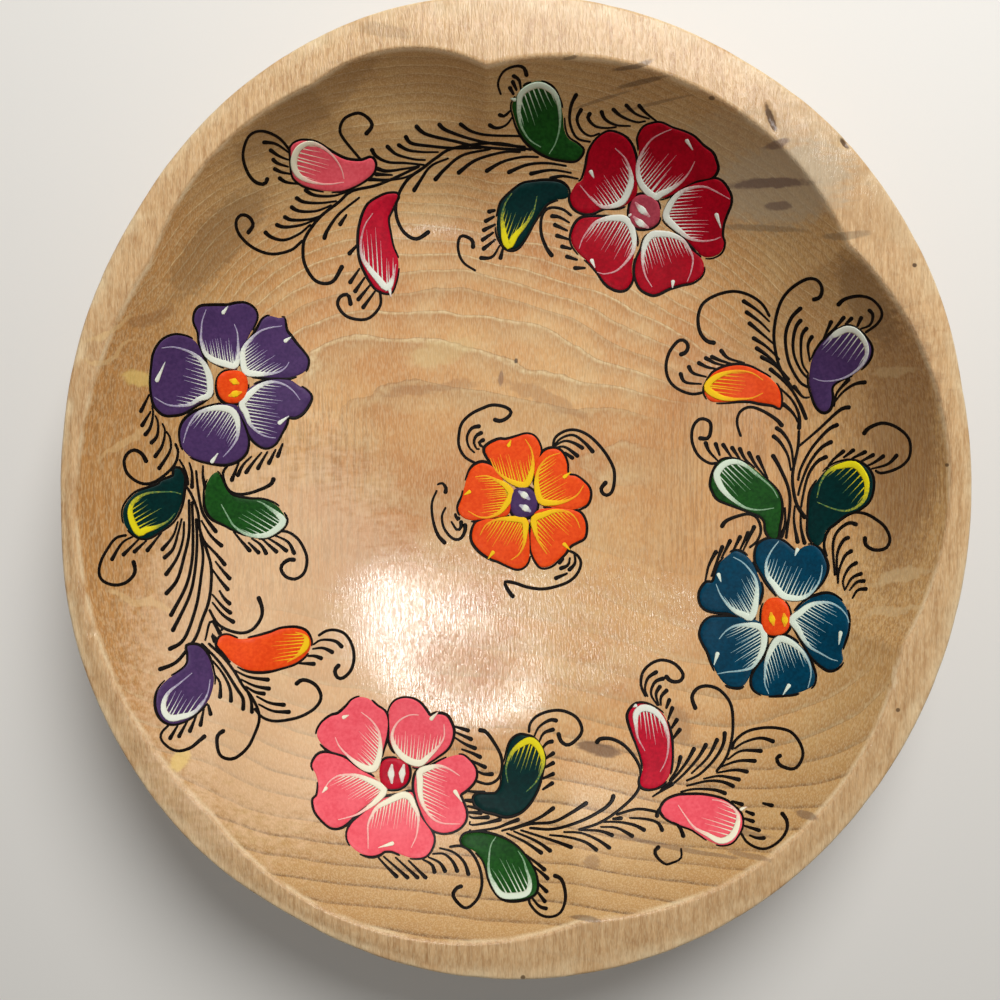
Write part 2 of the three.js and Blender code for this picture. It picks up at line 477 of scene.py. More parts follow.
@dataclass(frozen=True)
class Ground:
    """The hollow as the painter's ground: it sets points of the picture down on the wood."""

    hollow: Hollow
    view: View
    below: float = 0.002
    halvings: int = 30
    probe: float = 0.0004

    def lay(self, pixels: np.ndarray) -> tuple[np.ndarray, np.ndarray]:
        """Sets pixels down on the wood.

        Args:
            pixels: Points in the picture, one a row.

        Returns:
            The points on the wood, and the direction that faces out of the wood at each.
        """
        low = np.full(len(pixels), self.hollow.floor - self.below)
        high = np.full(len(pixels), self.hollow.rim)
        for _ in range(self.halvings):
            z = (low + high) / 2
            under = self.hollow.height(*self.view.at_height(pixels, z)) > z
            low, high = np.where(under, z, low), np.where(under, high, z)
        x, y = self.view.at_height(pixels, low)
        step = self.probe
        across = (self.hollow.height(x + step, y) - self.hollow.height(x - step, y)) / (2 * step)
        along = (self.hollow.height(x, y + step) - self.hollow.height(x, y - step)) / (2 * step)
        out = np.stack([-across, -along, np.ones_like(across)], axis=1)
        return np.stack([x, y, low], axis=1), out / np.linalg.norm(out, axis=1, keepdims=True)

    def pixel(self, points: np.ndarray) -> np.ndarray:
        """Width that a pixel covers at each point."""
        return (self.view.place[2] - points[:, 2]) / self.view.reach


@dataclass(frozen=True)
class Nick:
    """A dent in the rim, by its middle in the picture, the way it runs and its size."""

    at: Pair
    turn: float
    half_length: float
    half_width: float
    depth: float
    flat_share: float = 0.35


@dataclass(frozen=True)
class Swell:
    """Where the outline bulges past the oval, by its direction, amount and half spread."""

    angle: float
    amount: float
    spread: float


@dataclass(frozen=True)
class Mark:
    """A stain or a streak in the wood, or a patch of painted shade, sheen or highlight: by its middle and
    half size in the picture and the way it runs.
    """

    at: Pair
    half: Pair
    turn: float
    colour: str
    strength: float
    sways: bool = False


class Zone(Enum):
    """Bands of the bowl from the middle of the hollow, over the rim and round to the middle of the foot."""

    HOLLOW = 0
    RIM = 1
    RIM_EDGE = 2
    SIDE = 3
    FLANK = 4
    FOOT_EDGE = 5
    FOOT = 6


OUTER_RINGS = {Zone.RIM_EDGE: 5, Zone.SIDE: 8, Zone.FLANK: 18, Zone.FOOT_EDGE: 3, Zone.FOOT: 7}


@dataclass(frozen=True)
class Bowl:
    """The bowl itself, hewn from one block: hollow, level rim, upright side, round flank and flat foot."""

    hollow: Hollow
    view: View
    width: float = 0.347
    length: float = 0.375
    foot_width: float = 0.196
    foot_ease: float = 0.0015
    side_height: float = 0.020
    rim_ease: float = 0.0016
    rim_crown: float = 0.0006
    crown_start: float = 0.3
    flank_fullness: float = 0.62
    hewn_depth: float = 0.0005
    hewn_size: float = 0.018
    rim_wear: float = 0.00035
    wear_size: float = 0.011
    wear_band: Pair = (0.45, 0.75)
    nick_heights: Pair = (0.050, 0.062)
    around: int = 800
    hollow_rings: tuple[int, int] = (51, 10)
    near_arris: float = 0.965
    rim_rings: tuple[int, int] = (5, 9)
    past_arris: float = 1.16
    swells: tuple[Swell, ...] = (
        Swell(-147.0, 0.0030, 31.0),
        Swell(118.0, 0.0022, 26.0),
        Swell(152.0, 0.0008, 22.0),
        Swell(37.0, 0.0018, 26.0),
    )
    nicks: tuple[Nick, ...] = (
        Nick((771, 118), -71.0, 0.0068, 0.0014, 0.0012),
        Nick((846, 143), -50.0, 0.0030, 0.0018, 0.0014),
        Nick((305, 895), 20.0, 0.0028, 0.0015, 0.0009),
        Nick((91, 633), 80.0, 0.0030, 0.0015, 0.0008),
    )

    def stations(self) -> np.ndarray:
        """Spaces the rings of the lattice, closer together beside the arris.

        Returns:
            Where each ring lies, in whole zones and parts of them.
        """
        stops = (0.0, self.near_arris, 1.0, self.past_arris, 2.0)
        counts = (*self.hollow_rings, *self.rim_rings)
        inner = [np.linspace(a, b, n + 1)[1:] for a, b, n in zip(stops, stops[1:], counts)]
        outer = [zone.value + np.arange(1, count + 1) / count for zone, count in OUTER_RINGS.items()]
        return np.concatenate([*inner, *outer])[:-1]

    def lattice(self) -> bpy.types.Mesh:
        """Makes the guide mesh: rings of points round two poles.

        Returns:
            The mesh, whose points hold their direction in X and Y and their station in Z.
        """
        turns = np.arange(self.around) * 2 * math.pi / self.around
        ways = np.stack([np.cos(turns), np.sin(turns)], axis=1)
        rings = [np.insert(ways, 2, station, axis=1) for station in self.stations()]
        points = np.concatenate([[[0.0, 0.0, 0.0]], *rings, [[0.0, 0.0, float(len(Zone))]]])
        steps = [(1 + i, 1 + (i + 1) % self.around) for i in range(self.around)]
        faces = [(0, a, b) for a, b in steps]
        for ring in range(len(rings) - 1):
            near, far = ring * self.around, (ring + 1) * self.around
            faces += [(a + near, a + far, b + far, b + near) for a, b in steps]
        under, end = (len(rings) - 1) * self.around, len(points) - 1
        faces += [(end, b + under, a + under) for a, b in steps]
        mesh = bpy.data.meshes.new("bowl_lattice")
        mesh.from_pydata(points.tolist(), [], faces)
        return mesh

    def sizes(self) -> dict[str, object]:
        """Gathers the sizes that the tree works with.

        Returns:
            Values of the tree's named inputs.
        """
        values: dict[str, object] = {
            "Width": self.width,
            "Length": self.length,
            "Height": self.hollow.rim,
            "Floor height": self.hollow.floor,
            "Hollow depth": self.hollow.depth,
            "Wall steepness": self.hollow.steepness,
            "Arris ease": self.hollow.arris_ease,
            "Foot width": self.foot_width,
            "Foot ease": self.foot_ease,
            "Shoulder height": self.hollow.rim - self.side_height,
            "Rim ease": self.rim_ease,
            "Rim crown": self.rim_crown,
            "Rim wear": self.rim_wear,
            "Flank fullness": self.flank_fullness,
            "Hewn depth": self.hewn_depth,
        }
        for count, scoop in enumerate(self.hollow.scoops, 1):
            values[f"Scoop {count} middle"] = scoop.middle
            values[f"Scoop {count} radius"] = scoop.radius
            values[f"Scoop {count} lift"] = scoop.lift
        return values

    def inner_edge(self, graph: Graph, way: Link, size: Sizes) -> Link:
        """How far the hollow reaches in each direction: to the farthest of its sweeps.

        Args:
            graph: The tree to add to.
            way: Link to the direction from the bowl's middle.
            size: The tree's named inputs.

        Returns:
            Link to the distance.
        """
        edge = None
        for count in range(1, len(self.hollow.scoops) + 1):
            middle, radius = size[f"Scoop {count} middle"], size[f"Scoop {count} radius"]
            along = graph.add(VECTOR_MATH, way, middle, **DOT)
            away = graph.add(VECTOR_MATH, middle, middle, **DOT)
            inside = graph.add(MATH, radius, 2.0, operation="POWER")
            inside = graph.add(MATH, inside, away, **MINUS)
            inside = graph.add(MATH, along, along, inside, **TIMES_PLUS)
            chord = graph.add(MATH, inside, operation="SQRT")
            reach = graph.add(MATH, along, chord, **PLUS)
            edge = graph.add(MATH, edge, reach, operation="MAXIMUM") if edge else reach
        return edge

    def outer_edge(self, graph: Graph, way: Link, size: Sizes) -> Link:
        """How far the bowl reaches in each direction: an oval with a few swells.

        Args:
            graph: The tree to add to.
            way: Link to the direction from the bowl's middle.
            size: The tree's named inputs.

        Returns:
            Link to the distance.
        """
        shrink = [graph.add(MATH, 2.0, size[name], **OVER) for name in ("Width", "Length")]
        oval = graph.add(VECTOR_MATH, way, graph.add(JOIN, *shrink), **TIMES)
        ratio = graph.add(VECTOR_MATH, oval, **LENGTH)
        edge = graph.add(MATH, 1.0, ratio, **OVER)
        for swell in self.swells:
            turn, spread = math.radians(swell.angle), math.cos(math.radians(swell.spread))
            ahead = (math.cos(turn), math.sin(turn), 0.0)
            facing = graph.add(VECTOR_MATH, way, ahead, **DOT)
            bulge = graph.add(MAP_RANGE, facing, spread, 1.0, 0.0, swell.amount, **EASED)
            edge = graph.add(MATH, edge, bulge, **PLUS)
        return edge

    def flank(self, graph: Graph, share: Link, size: Sizes) -> tuple[Link, Link]:
        """The flank's curve: a cubic that leaves the side upright and comes to the foot level.

        Args:
            graph: The tree to add to.
            share: Link to how far down the flank a ring lies.
            size: The tree's named inputs.

        Returns:
            Links to the radius and the height along the curve.
        """
        rest = graph.add(MATH, 1.0, share, **MINUS)
        outer = graph.add(MATH, size["Width"], 0.5, **TIMES)
        foot = graph.add(MATH, size["Foot width"], 0.5, **TIMES)
        slack = graph.add(MATH, 1.0, size["Flank fullness"], **MINUS)
        spread = graph.add(MATH, outer, foot, **MINUS)
        pull = graph.add(MATH, spread, size["Flank fullness"], foot, **TIMES_PLUS)
        drop = graph.add(MATH, size["Shoulder height"], slack, **TIMES)
        early, late = (graph.add(MATH, part, part, **TIMES) for part in (rest, share))
        terms = ((early, rest, 1.0), (early, share, 3.0), (late, rest, 3.0), (late, share, 1.0))
        weights = []
        for square, part, times in terms:
            weight = graph.add(MATH, square, part, **TIMES)
            weights.append(graph.add(MATH, weight, times, **TIMES))
        sums = []
        for handles in (
            (outer, outer, pull, foot),
            (size["Shoulder height"], drop, size["Foot ease"], size["Foot ease"]),
        ):
            total = 0.0
            for weight, handle in zip(weights, handles):
                total = graph.add(MATH, weight, handle, total, **TIMES_PLUS)
            sums.append(total)
        return sums[0], sums[1]

    def dents(self, graph: Graph, place: Link) -> Link:
        """How deep the nicks in the rim go at each place.

        Args:
            graph: The tree to add to.
            place: Link to the place on the bowl.

        Returns:
            Link to the depth.
        """
        total: Link | float = 0.0
        for nick in self.nicks:
            x, y = self.view.at_height(np.array([nick.at]), self.hollow.rim)
            away = graph.add(VECTOR_MATH, place, (x[0], y[0], 0.0), **MINUS)
            turn = {"Angle": -math.radians(nick.turn)}
            turned = graph.add("ShaderNodeVectorRotate", away, named=turn, rotation_type="Z_AXIS")
            shrink = (1 / nick.half_length, 1 / nick.half_width, 0.0)
            local = graph.add(VECTOR_MATH, turned, shrink, **TIMES)
            far = graph.add(VECTOR_MATH, local, **LENGTH)
            bite = graph.add(MAP_RANGE, far, nick.flat_share, 1.0, nick.depth, 0.0, **EASED)
            total = graph.add(MATH, total, bite, **PLUS)
        return total

    def side_drop(self, graph: Graph, size: Sizes) -> Link:
        """How far the upright side runs down, from the eased rim edge to the shoulder.

        Args:
            graph: The tree to add to.
            size: The tree's named inputs.

        Returns:
            Link to the distance.
        """
        tall = size["Height"]
        for part in ("Rim crown", "Rim ease", "Shoulder height"):
            tall = graph.add(MATH, tall, size[part], **MINUS)
        return tall

    def weathered(
        self, graph: Graph, way: Link, radius: Link, z: Link, share: dict[Zone, Link], size: Sizes
    ) -> tuple[Link, Link]:
        """Leaves the marks of the tool on the outside, and wears and nicks the rim.

        Args:
            graph: The tree to add to.
            way: Link to the direction from the bowl's middle.
            radius: Link to the even radius.
            z: Link to the even height.
            share: Link to how far across each zone a ring lies.
            size: The tree's named inputs.

        Returns:
            Links to the uneven radius and height.
        """
        flat = graph.add(VECTOR_MATH, way, named={"Scale": radius}, operation="SCALE")
        spot = graph.add(VECTOR_MATH, flat, graph.add(JOIN, None, None, z), **PLUS)
        hewn = graph.add(NOISE, spot, named={"Scale": 1 / self.hewn_size, "Detail": 2.0})
        outside = graph.add(MATH, share[Zone.SIDE], share[Zone.FOOT_EDGE], **MINUS)
        hewn = graph.add(MATH, hewn, outside, **TIMES)
        hewn = graph.add(MATH, hewn, size["Hewn depth"], **TIMES)
        radius = graph.add(MATH, radius, hewn, **MINUS)

        worn = graph.add(NOISE, spot, named={"Scale": 1 / self.wear_size, "Detail": 3.0})
        worn = graph.add(MAP_RANGE, worn, *self.wear_band, 0.0, 1.0, **EASED)
        on_rim = graph.add(MATH, share[Zone.RIM], share[Zone.SIDE], **MINUS)
        worn = graph.add(MATH, worn, on_rim, **TIMES)
        worn = graph.add(MATH, worn, size["Rim wear"], **TIMES)
        z = graph.add(MATH, z, worn, **MINUS)
        near_rim = graph.add(MAP_RANGE, z, *self.nick_heights)
        bite = graph.add(MATH, self.dents(graph, flat), near_rim, **TIMES)
        return radius, graph.add(MATH, z, bite, **MINUS)

    def tree(self, material: bpy.types.Material) -> bpy.types.NodeTree:
        """Builds the tree that hews the lattice into the bowl.

        Args:
            material: The wood's material.

        Returns:
            The geometry node tree.
        """
        kinds = {name: "Vector" if name.endswith("middle") else "Float" for name in self.sizes()}
        graph, size = shape_tree("hewn_bowl", {name: "NodeSocket" + kind for name, kind in kinds.items()})
        given = graph.add("GeometryNodeInputPosition")
        station = graph.add(SPLIT, given, out="Z")
        way = graph.add(VECTOR_MATH, given, (1.0, 1.0, 0.0), **TIMES)
        share = {zone: graph.add(MAP_RANGE, station, float(zone.value), zone.value + 1.0) for zone in Zone}
        level_run, upright_run = {}, {}
        for zone in (Zone.RIM_EDGE, Zone.FOOT_EDGE):
            quarter = graph.add(MATH, share[zone], math.pi / 2, **TIMES)
            level_run[zone] = graph.add(MATH, quarter, operation="SINE")
            cosine = graph.add(MATH, quarter, operation="COSINE")
            upright_run[zone] = graph.add(MATH, 1.0, cosine, **MINUS)

        edge = self.inner_edge(graph, way, size)
        outer = self.outer_edge(graph, way, size)
        rim_width = graph.add(MATH, outer, size["Rim ease"], **MINUS)
        rim_width = graph.add(MATH, rim_width, edge, **MINUS)
        inside = graph.add(MATH, edge, share[Zone.HOLLOW], **TIMES)
        radius_top = graph.add(MATH, rim_width, share[Zone.RIM], inside, **TIMES_PLUS)
        place_top = graph.add(VECTOR_MATH, way, named={"Scale": radius_top}, operation="SCALE")
        level = self.hollow.height_nodes(graph, place_top, size)
        crown = graph.add(MAP_RANGE, share[Zone.RIM], self.crown_start, 1.0, 0.0, 1.0, **EASED)
        crown = graph.add(MATH, crown, size["Rim crown"], **TIMES)
        past_rim = graph.add(MATH, station, Zone.RIM_EDGE.value - TOLERANCE, operation="GREATER_THAN")
        level = graph.add(MIX, past_rim, named={NUMBER_A: level, NUMBER_B: size["Height"]})
        level = graph.add(MATH, level, crown, **MINUS)

        curve_radius, curve_height = self.flank(graph, share[Zone.FLANK], size)
        half_width = graph.add(MATH, size["Width"], 0.5, **TIMES)
        draw_in = graph.add(MATH, curve_radius, half_width, **MINUS)
        stretched = graph.add(MATH, outer, half_width, **OVER)
        rounded = level_run[Zone.RIM_EDGE]
        radius = graph.add(MATH, rounded, size["Rim ease"], radius_top, **TIMES_PLUS)
        radius = graph.add(MATH, draw_in, stretched, radius, **TIMES_PLUS)
        foot_in = graph.add(MATH, upright_run[Zone.FOOT_EDGE], size["Foot ease"], **TIMES)
        radius = graph.add(MATH, radius, foot_in, **MINUS)
        left = graph.add(MATH, 1.0, share[Zone.FOOT], **MINUS)
        radius = graph.add(MATH, radius, left, **TIMES)

        z = level
        for amount, scale in (
            (upright_run[Zone.RIM_EDGE], size["Rim ease"]),
            (share[Zone.SIDE], self.side_drop(graph, size)),
            (graph.add(MATH, size["Shoulder height"], curve_height, **MINUS), 1.0),
            (level_run[Zone.FOOT_EDGE], size["Foot ease"]),
        ):
            drop = graph.add(MATH, amount, scale, **TIMES)
            z = graph.add(MATH, z, drop, **MINUS)

        radius, z = self.weathered(graph, way, radius, z, share, size)
        flat = graph.add(VECTOR_MATH, way, named={"Scale": radius}, operation="SCALE")
        final = graph.add(VECTOR_MATH, flat, graph.add(JOIN, None, None, z), **PLUS)
        hewn = graph.add("GeometryNodeSetPosition", size["Geometry"], named={"Position": final})
        return graph.end(hewn, material)

    def build(self, material: bpy.types.Material) -> bpy.types.Object:
        """Builds the bowl and puts it in place of the CAD one.

        Args:
            material: The wood's material.

        Returns:
            The bowl's object.
        """
        bowl = grown(linked("hewn_bowl", self.lattice()), self.tree(material), self.sizes())
        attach(bowl, "root")
        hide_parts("bowl")
        return bowl


# Each row: middle, half size, turn in degrees, colour, strength, and whether its line wavers.
MARKS = (
    # Broad tones of the floor and the walls. Some of them are painted light: sheen on the floor, shade on the
    # walls.
    # Painted sheen: a pale haze round the varnish's highlight on the left of the floor.
    Mark((280, 640), (165, 235), 0.0, "#F6D2AC", 0.40),
    Mark((720, 480), (110, 190), 0.0, "#B8763A", 0.26),
    # Painted shade: the east wall darkened towards the rim, where it lies in shadow.
    Mark((890, 430), (62, 150), 0.0, "#7A4E2C", 0.26),
    Mark((905, 450), (44, 170), 0.0, "#6E4526", 0.30),
    Mark((835, 168), (150, 42), 45.0, "#B08A5E", 0.30),
    Mark((745, 170), (120, 72), 8.0, "#AAA088", 0.26),
    Mark((780, 185), (85, 48), -8.0, "#B2AA94", 0.36),
    # Painted shade: dark under the arris to the north and north-west, and below the north-east ridge.
    Mark((300, 112), (110, 26), -36.0, "#6E5233", 0.34),
    Mark((215, 243), (95, 30), -47.0, "#6E5233", 0.40),
    Mark((868, 300), (62, 26), 62.0, "#6E5233", 0.45),
    # Smudges: upper right, top, lower right, then single ones.
    Mark((770, 183), (54, 6.5), -3.5, "#66504A", 0.72),
    Mark((778, 206), (17, 5.5), -3.0, "#66504A", 0.62),
    Mark((776, 145), (16, 5), -16.0, "#66504A", 0.62),
    Mark((632, 67), (24, 3), -13.0, "#503E2E", 0.62),
    Mark((641, 82), (34, 3.5), -14.0, "#503E2E", 0.58),
    Mark((600, 100), (42, 2.2), -18.0, "#5C4A38", 0.45),
    Mark((570, 58), (10, 2.5), -12.0, "#503E2E", 0.55),
    Mark((652, 104), (48, 2.2), -14.0, "#5C4A38", 0.42),
    Mark((712, 98), (4, 3), 0.0, "#4A3A2C", 0.7),
    Mark((760, 228), (62, 4), 3.0, "#6E604C", 0.45),
    Mark((845, 236), (45, 5), -6.0, "#6E604C", 0.45),
    Mark((680, 849), (95, 3), 12.0, "#6A5444", 0.50),
    Mark((806, 815), (15, 5), 18.0, "#6B5446", 0.6),
    Mark((586, 918), (19, 4), 8.0, "#5E4A3A", 0.6),
    Mark((750, 834), (30, 3.5), 10.0, "#6B5446", 0.5),
    Mark((750, 856), (26, 4), 14.0, "#6B5446", 0.45),
    Mark((598, 749), (27, 8), 12.0, "#68482C", 0.80),
    Mark((592, 862), (10, 8), 0.0, "#7A5736", 0.45),
    Mark((680, 725), (12, 24), -14.0, "#9C7248", 0.5),
    # Yellowed varnish.
    Mark((138, 378), (20, 10), 10.0, "#E9CB74", 0.55),
    Mark((180, 760), (16, 10), -50.0, "#E9CB74", 0.6),
    # On the rim, two of them in its nicks.
    Mark((383, 30), (34, 9), 8.0, "#A4845C", 0.5),
    Mark((771, 118), (18, 4), 71.0, "#4E3218", 0.92),
    Mark((846, 143), (8, 3.5), 52.0, "#4A2E18", 0.85),
    # Streaks and knots of the grain, those of the side walls after those of the floor, with one painted
    # highlight among them.
    Mark((501, 378), (3, 10), 4.0, "#7A5A48", 0.6),
    Mark((545, 402), (58, 9), 24.0, "#94633C", 0.34, True),
    Mark((430, 388), (60, 8), -6.0, "#94633C", 0.32, True),
    Mark((440, 350), (46, 15), -18.0, "#DCC287", 0.40, True),
    # Painted highlight: the lit facet of the south-east ridge.
    Mark((894, 676), (3.5, 15), 4.0, "#F2DFB8", 0.4),
    Mark((902, 574), (44, 7), -14.0, "#D0B587", 0.50, True),
    Mark((890, 612), (38, 5), -6.0, "#D0B587", 0.42, True),
    Mark((898, 372), (30, 6), -6.0, "#C4A878", 0.42, True),
    Mark((112, 330), (34, 4), -28.0, "#E0BE86", 0.45, True),
    Mark((118, 352), (40, 3.5), -24.0, "#E0BE86", 0.45, True),
    Mark((128, 440), (44, 5), -36.0, "#E0BE86", 0.40, True),
    Mark((140, 600), (46, 6), 14.0, "#E0BE86", 0.40, True),
    Mark((150, 318), (30, 8), -20.0, "#8A5E36", 0.40, True),
    # Pinholes.
    Mark((516, 361), (2.5, 3), 0.0, "#2E2118", 0.8),
    Mark((915, 265), (3, 2.5), 0.0, "#4A331C", 0.9),
    Mark((947, 465), (3, 2.5), 0.0, "#4A331C", 0.8),
    Mark((898, 710), (3, 2.5), 0.0, "#4A331C", 0.8),
    Mark((523, 978), (3, 2.5), 0.0, "#4A331C", 0.8),
)


def drawn_noise(graph: Graph, place: Link, size_mm: Triple, detail: float) -> Link:
    """Noise drawn out along the grain.

    Args:
        graph: The material's graph.
        place: Link to the place in the wood.
        size_mm: Size of its cells across, along and through the wood.
        detail: How much finer noise lies over it.

    Returns:
        Link to the noise.
    """
    cells = graph.add(VECTOR_MATH, place, tuple(1 / (part * MM) for part in size_mm), **TIMES)
    return graph.add(NOISE, cells, named={"Scale": 1.0, "Detail": detail})


@dataclass(frozen=True)
class VarnishedWood:
    """Pale ring-porous hardwood, hewn and sanded, under an amber varnish that has sunk in on the walls.

    The growth rings arch about a line across the bowl, far below it, so they show as lines across
    both end walls and as broad bands on the floor. Its pores are short dashes along Y. The varnish
    shines on the floor, where it lies thick, and is nearly dull on the walls and the rim.
    """

    hollow: Hollow
    view: View
    name: str = "varnished_wood_grain"

    middle: str = "#C98A4E"
    light: str = "#DDAA6C"
    patch: str = "#E3BF88"
    wall: str = "#BE9A62"
    west_wall: str = "#BC7F40"
    dark: str = "#8E6538"
    rim: str = "#D8B182"
    rim_dark: str = "#B98F62"
    # Pale of the inner arris, partly wear and partly a painted highlight along the edge.
    worn: str = "#F0DAB0"
    ring_pale: str = "#EACF9B"
    ring_dark: str = "#6E5233"
    pore_dark: str = "#8A5A2C"
    pore_pale: str = "#F2DDB2"

    # Between which heights, places across or slopes in plan each tone comes in.
    wall_heights: Pair = (0.019, 0.048)
    rim_heights: Pair = (0.0636, 0.0642)
    worn_and_highlit_from: Pair = (0.0628, 0.0638)
    worn_and_highlit_until: Pair = (0.0641, 0.0647)
    coat_heights: Pair = (0.0185, 0.0215)
    west: Pair = (-0.105, -0.150)
    side_slopes: Pair = (1.3, 2.6)
    side_start: float = 0.03

    # The growth rings and the lines between them.
    ring_mm: float = 3.5
    ring_start: float = 0.124
    sparse: float = 0.42
    sparse_until: Pair = (-0.02, 0.05)
    ring_wander_mm: float = 15.0
    wander_size_mm: float = 65.0
    ring_ripple_mm: float = 1.5
    ripple_size_mm: float = 9.0
    ring_draw: Triple = (0.55, 1.0, 1.0)
    pith: Pair = (0.030, -0.105)
    arch: float = 1.6
    tilt: float = 0.22
    line_rise: Pair = (0.80, 0.94)
    line_fall: Pair = (0.95, 1.0)
    line_breaks_mm: float = 2.4
    line_breaks: tuple[float, float, float, float] = (0.35, 0.60, 0.30, 1.0)
    least_vigour: float = 0.35
    pale_lines: Pair = (-0.115, -0.070)
    calm_heights: Pair = (0.0171, 0.024)
    calm_until: Pair = (-0.01, 0.05)
    calm: float = 0.30
    side_calm: float = 0.15

    # Pores are really about 0.2 mm wide, too fine to show, so they are drawn about twice as wide.
    pore_mm: Triple = (0.42, 3.4, 0.42)
    fleck_mm: Triple = (0.55, 3.0, 0.55)
    hatch_mm: Triple = (0.9, 28.0, 0.9)
    pore_cut: float = 0.50
    fleck_cut: float = 0.47
    hatch_cut: float = 0.46
    dash_edge: float = 0.14
    cloud_mm: float = 50.0
    cloud_band: Pair = (0.35, 0.65)
    patch_mm: Triple = (22.0, 14.0, 22.0)
    patch_band: Pair = (0.48, 0.68)
    ragged_band: Pair = (0.38, 0.54)
    tool_mm: Triple = (1.5, 15.0, 1.5)
    tool_band: Pair = (0.40, 0.70)

    roughness: float = 0.42
    pore_roughness: float = 0.15
    coat: Pair = (1.0, 0.06)
    coat_roughness: float = 0.15
    coat_on_rim: float = 0.32
    gloss: float = 0.45
    gloss_on_rim: float = 0.2
    relief_mm: Triple = (1.0, 11.0, 1.0)
    relief_depth_mm: float = 0.05
    relief_share: float = 4.0
    rim_relief: float = 1.2

    # Stains and streaks, and patches of painted shade, sheen and highlight.
    marks: tuple[Mark, ...] = MARKS
    mark_reach: float = 0.006
    mark_sway: float = 0.014
    sway_mm: float = 16.0
    fray_mm: float = 2.0
    fray_draw: Triple = (0.35, 1.0, 1.0)
    fray: float = 0.7
    mark_edge: Pair = (0.95, 1.35)

    def rings(self, graph: Graph, place: Link) -> tuple[Link, Link, Link]:
        """Growth rings about a line across the bowl, far below it.

        Args:
            graph: The material's graph.
            place: Link to the place in the wood.

        Returns:
            Links to the share across each ring, to the line between rings, and to how pale that line is.
        """
        parts = graph.add(SPLIT, place).node.outputs
        bulge = graph.add(MATH, parts["X"], parts["X"], **TIMES)
        along = graph.add(MATH, bulge, self.arch, parts["Y"], **TIMES_PLUS)
        along = graph.add(MATH, parts["X"], self.tilt, along, **TIMES_PLUS)
        along = graph.add(MATH, along, self.pith[0], **MINUS)
        up = graph.add(MATH, parts["Z"], self.pith[1], **MINUS)
        section = graph.add(JOIN, 0.0, along, up)
        radius = graph.add(VECTOR_MATH, section, **LENGTH)
        drawn = graph.add(VECTOR_MATH, place, self.ring_draw, **TIMES)
        for size_mm, amount_mm, detail in (
            (self.wander_size_mm, self.ring_wander_mm, 2.0),
            (self.ripple_size_mm, self.ring_ripple_mm, 3.0),
        ):
            stray = graph.add(NOISE, drawn, named={"Scale": 1 / (size_mm * MM), "Detail": detail})
            radius = graph.add(MATH, stray, amount_mm * MM, radius, **TIMES_PLUS)
        closest = 1 / (self.ring_mm * MM)
        dense = graph.add(MAP_RANGE, parts["Y"], *self.sparse_until, self.sparse * closest, closest)
        count = graph.add(MATH, radius, self.ring_start, **MINUS)
        count = graph.add(MATH, count, dense, **TIMES)
        share = graph.add(MATH, count, operation="FRACT")
        rise = graph.add(MAP_RANGE, share, *self.line_rise, 0.0, 1.0, **EASED)
        broken = graph.add(NOISE, place, named={"Scale": 1 / (self.line_breaks_mm * MM), "Detail": 2.0})
        broken = graph.add(MAP_RANGE, broken, *self.line_breaks)
        rise = graph.add(MATH, rise, broken, **TIMES)
        fall = graph.add(MAP_RANGE, share, *self.line_fall, 1.0, 0.0, **EASED)
        line = graph.add(MATH, rise, fall, **TIMES)
        each = graph.add(MATH, count, operation="FLOOR")
        vigour = graph.add("ShaderNodeTexWhiteNoise", named={"W": each}, noise_dimensions="1D")
        vigour = graph.add(MAP_RANGE, vigour, 0.0, 1.0, self.least_vigour, 1.0)
        pale = graph.add(MAP_RANGE, parts["Y"], *self.pale_lines)
        return share, graph.add(MATH, line, vigour, **TIMES), pale

    def beside(self, graph: Graph, x: Link, y: Link) -> Link:
        """Share by which a place is on the side walls, where the rings are cut edge on and run along Y.

        Args:
            graph: The material's graph.
            x: Link to the place across the grain.
            y: Link to the place along the grain.

        Returns:
            Link to the share.
        """
        across, along = (graph.add(MATH, part, operation="ABSOLUTE") for part in (x, y))
        along = graph.add(MATH, along, self.side_start, operation="MAXIMUM")
        slope = graph.add(MATH, across, along, **OVER)
        return graph.add(MAP_RANGE, slope, *self.side_slopes, 0.0, 1.0, **EASED)

    def dashes(self, graph: Graph, place: Link, size_mm: Triple, cut: float) -> Link:
        """Pores cut open along the grain.

        Args:
            graph: The material's graph.
            place: Link to the place in the wood.
            size_mm: Size of a pore across, along and through the wood.
            cut: How much of the wood stays clear of pores.

        Returns:
            Link to the share of pore at each place.
        """
        grain = drawn_noise(graph, place, size_mm, 1.0)
        return graph.add(MAP_RANGE, grain, cut, cut + self.dash_edge, 0.0, 1.0, **EASED)

    def mark_cover(self, graph: Graph, place: Link, edge: Link, mark: Mark) -> Link:
        """How strongly one mark covers the wood, be it a stain, a streak or a patch of painted shade, sheen
        or highlight.

        Args:
            graph: The material's graph.
            place: Link to the place in the wood.
            edge: Link to the noise that frays its edge.
            mark: The mark.

        Returns:
            Link to the share of the mark's colour at each place.
        """
        turn = math.radians(mark.turn)
        reach = np.array([math.cos(turn), math.sin(turn)]) * mark.half[0]
        ground = Ground(self.hollow, self.view)
        points, outs = ground.lay(np.array([mark.at - reach, mark.at, mark.at + reach]))
        axis = Vector(points[2] - points[0]).normalized()
        side = Vector(outs[1]).cross(axis).normalized()
        frame = Matrix((axis, side, axis.cross(side))).transposed()
        half = np.array(mark.half) * ground.pixel(points)[1]
        scale = (*half, max(self.mark_reach, float(half[1])))
        named = {"Location": points[1], "Rotation": frame.to_euler(), "Scale": scale}
        local = graph.add("ShaderNodeMapping", place, named=named, vector_type="TEXTURE")
        far = graph.add(VECTOR_MATH, local, **LENGTH)
        far = graph.add(MATH, edge, self.fray, far, **TIMES_PLUS)
        return graph.add(MAP_RANGE, far, *self.mark_edge, mark.strength, 0.0, **EASED)

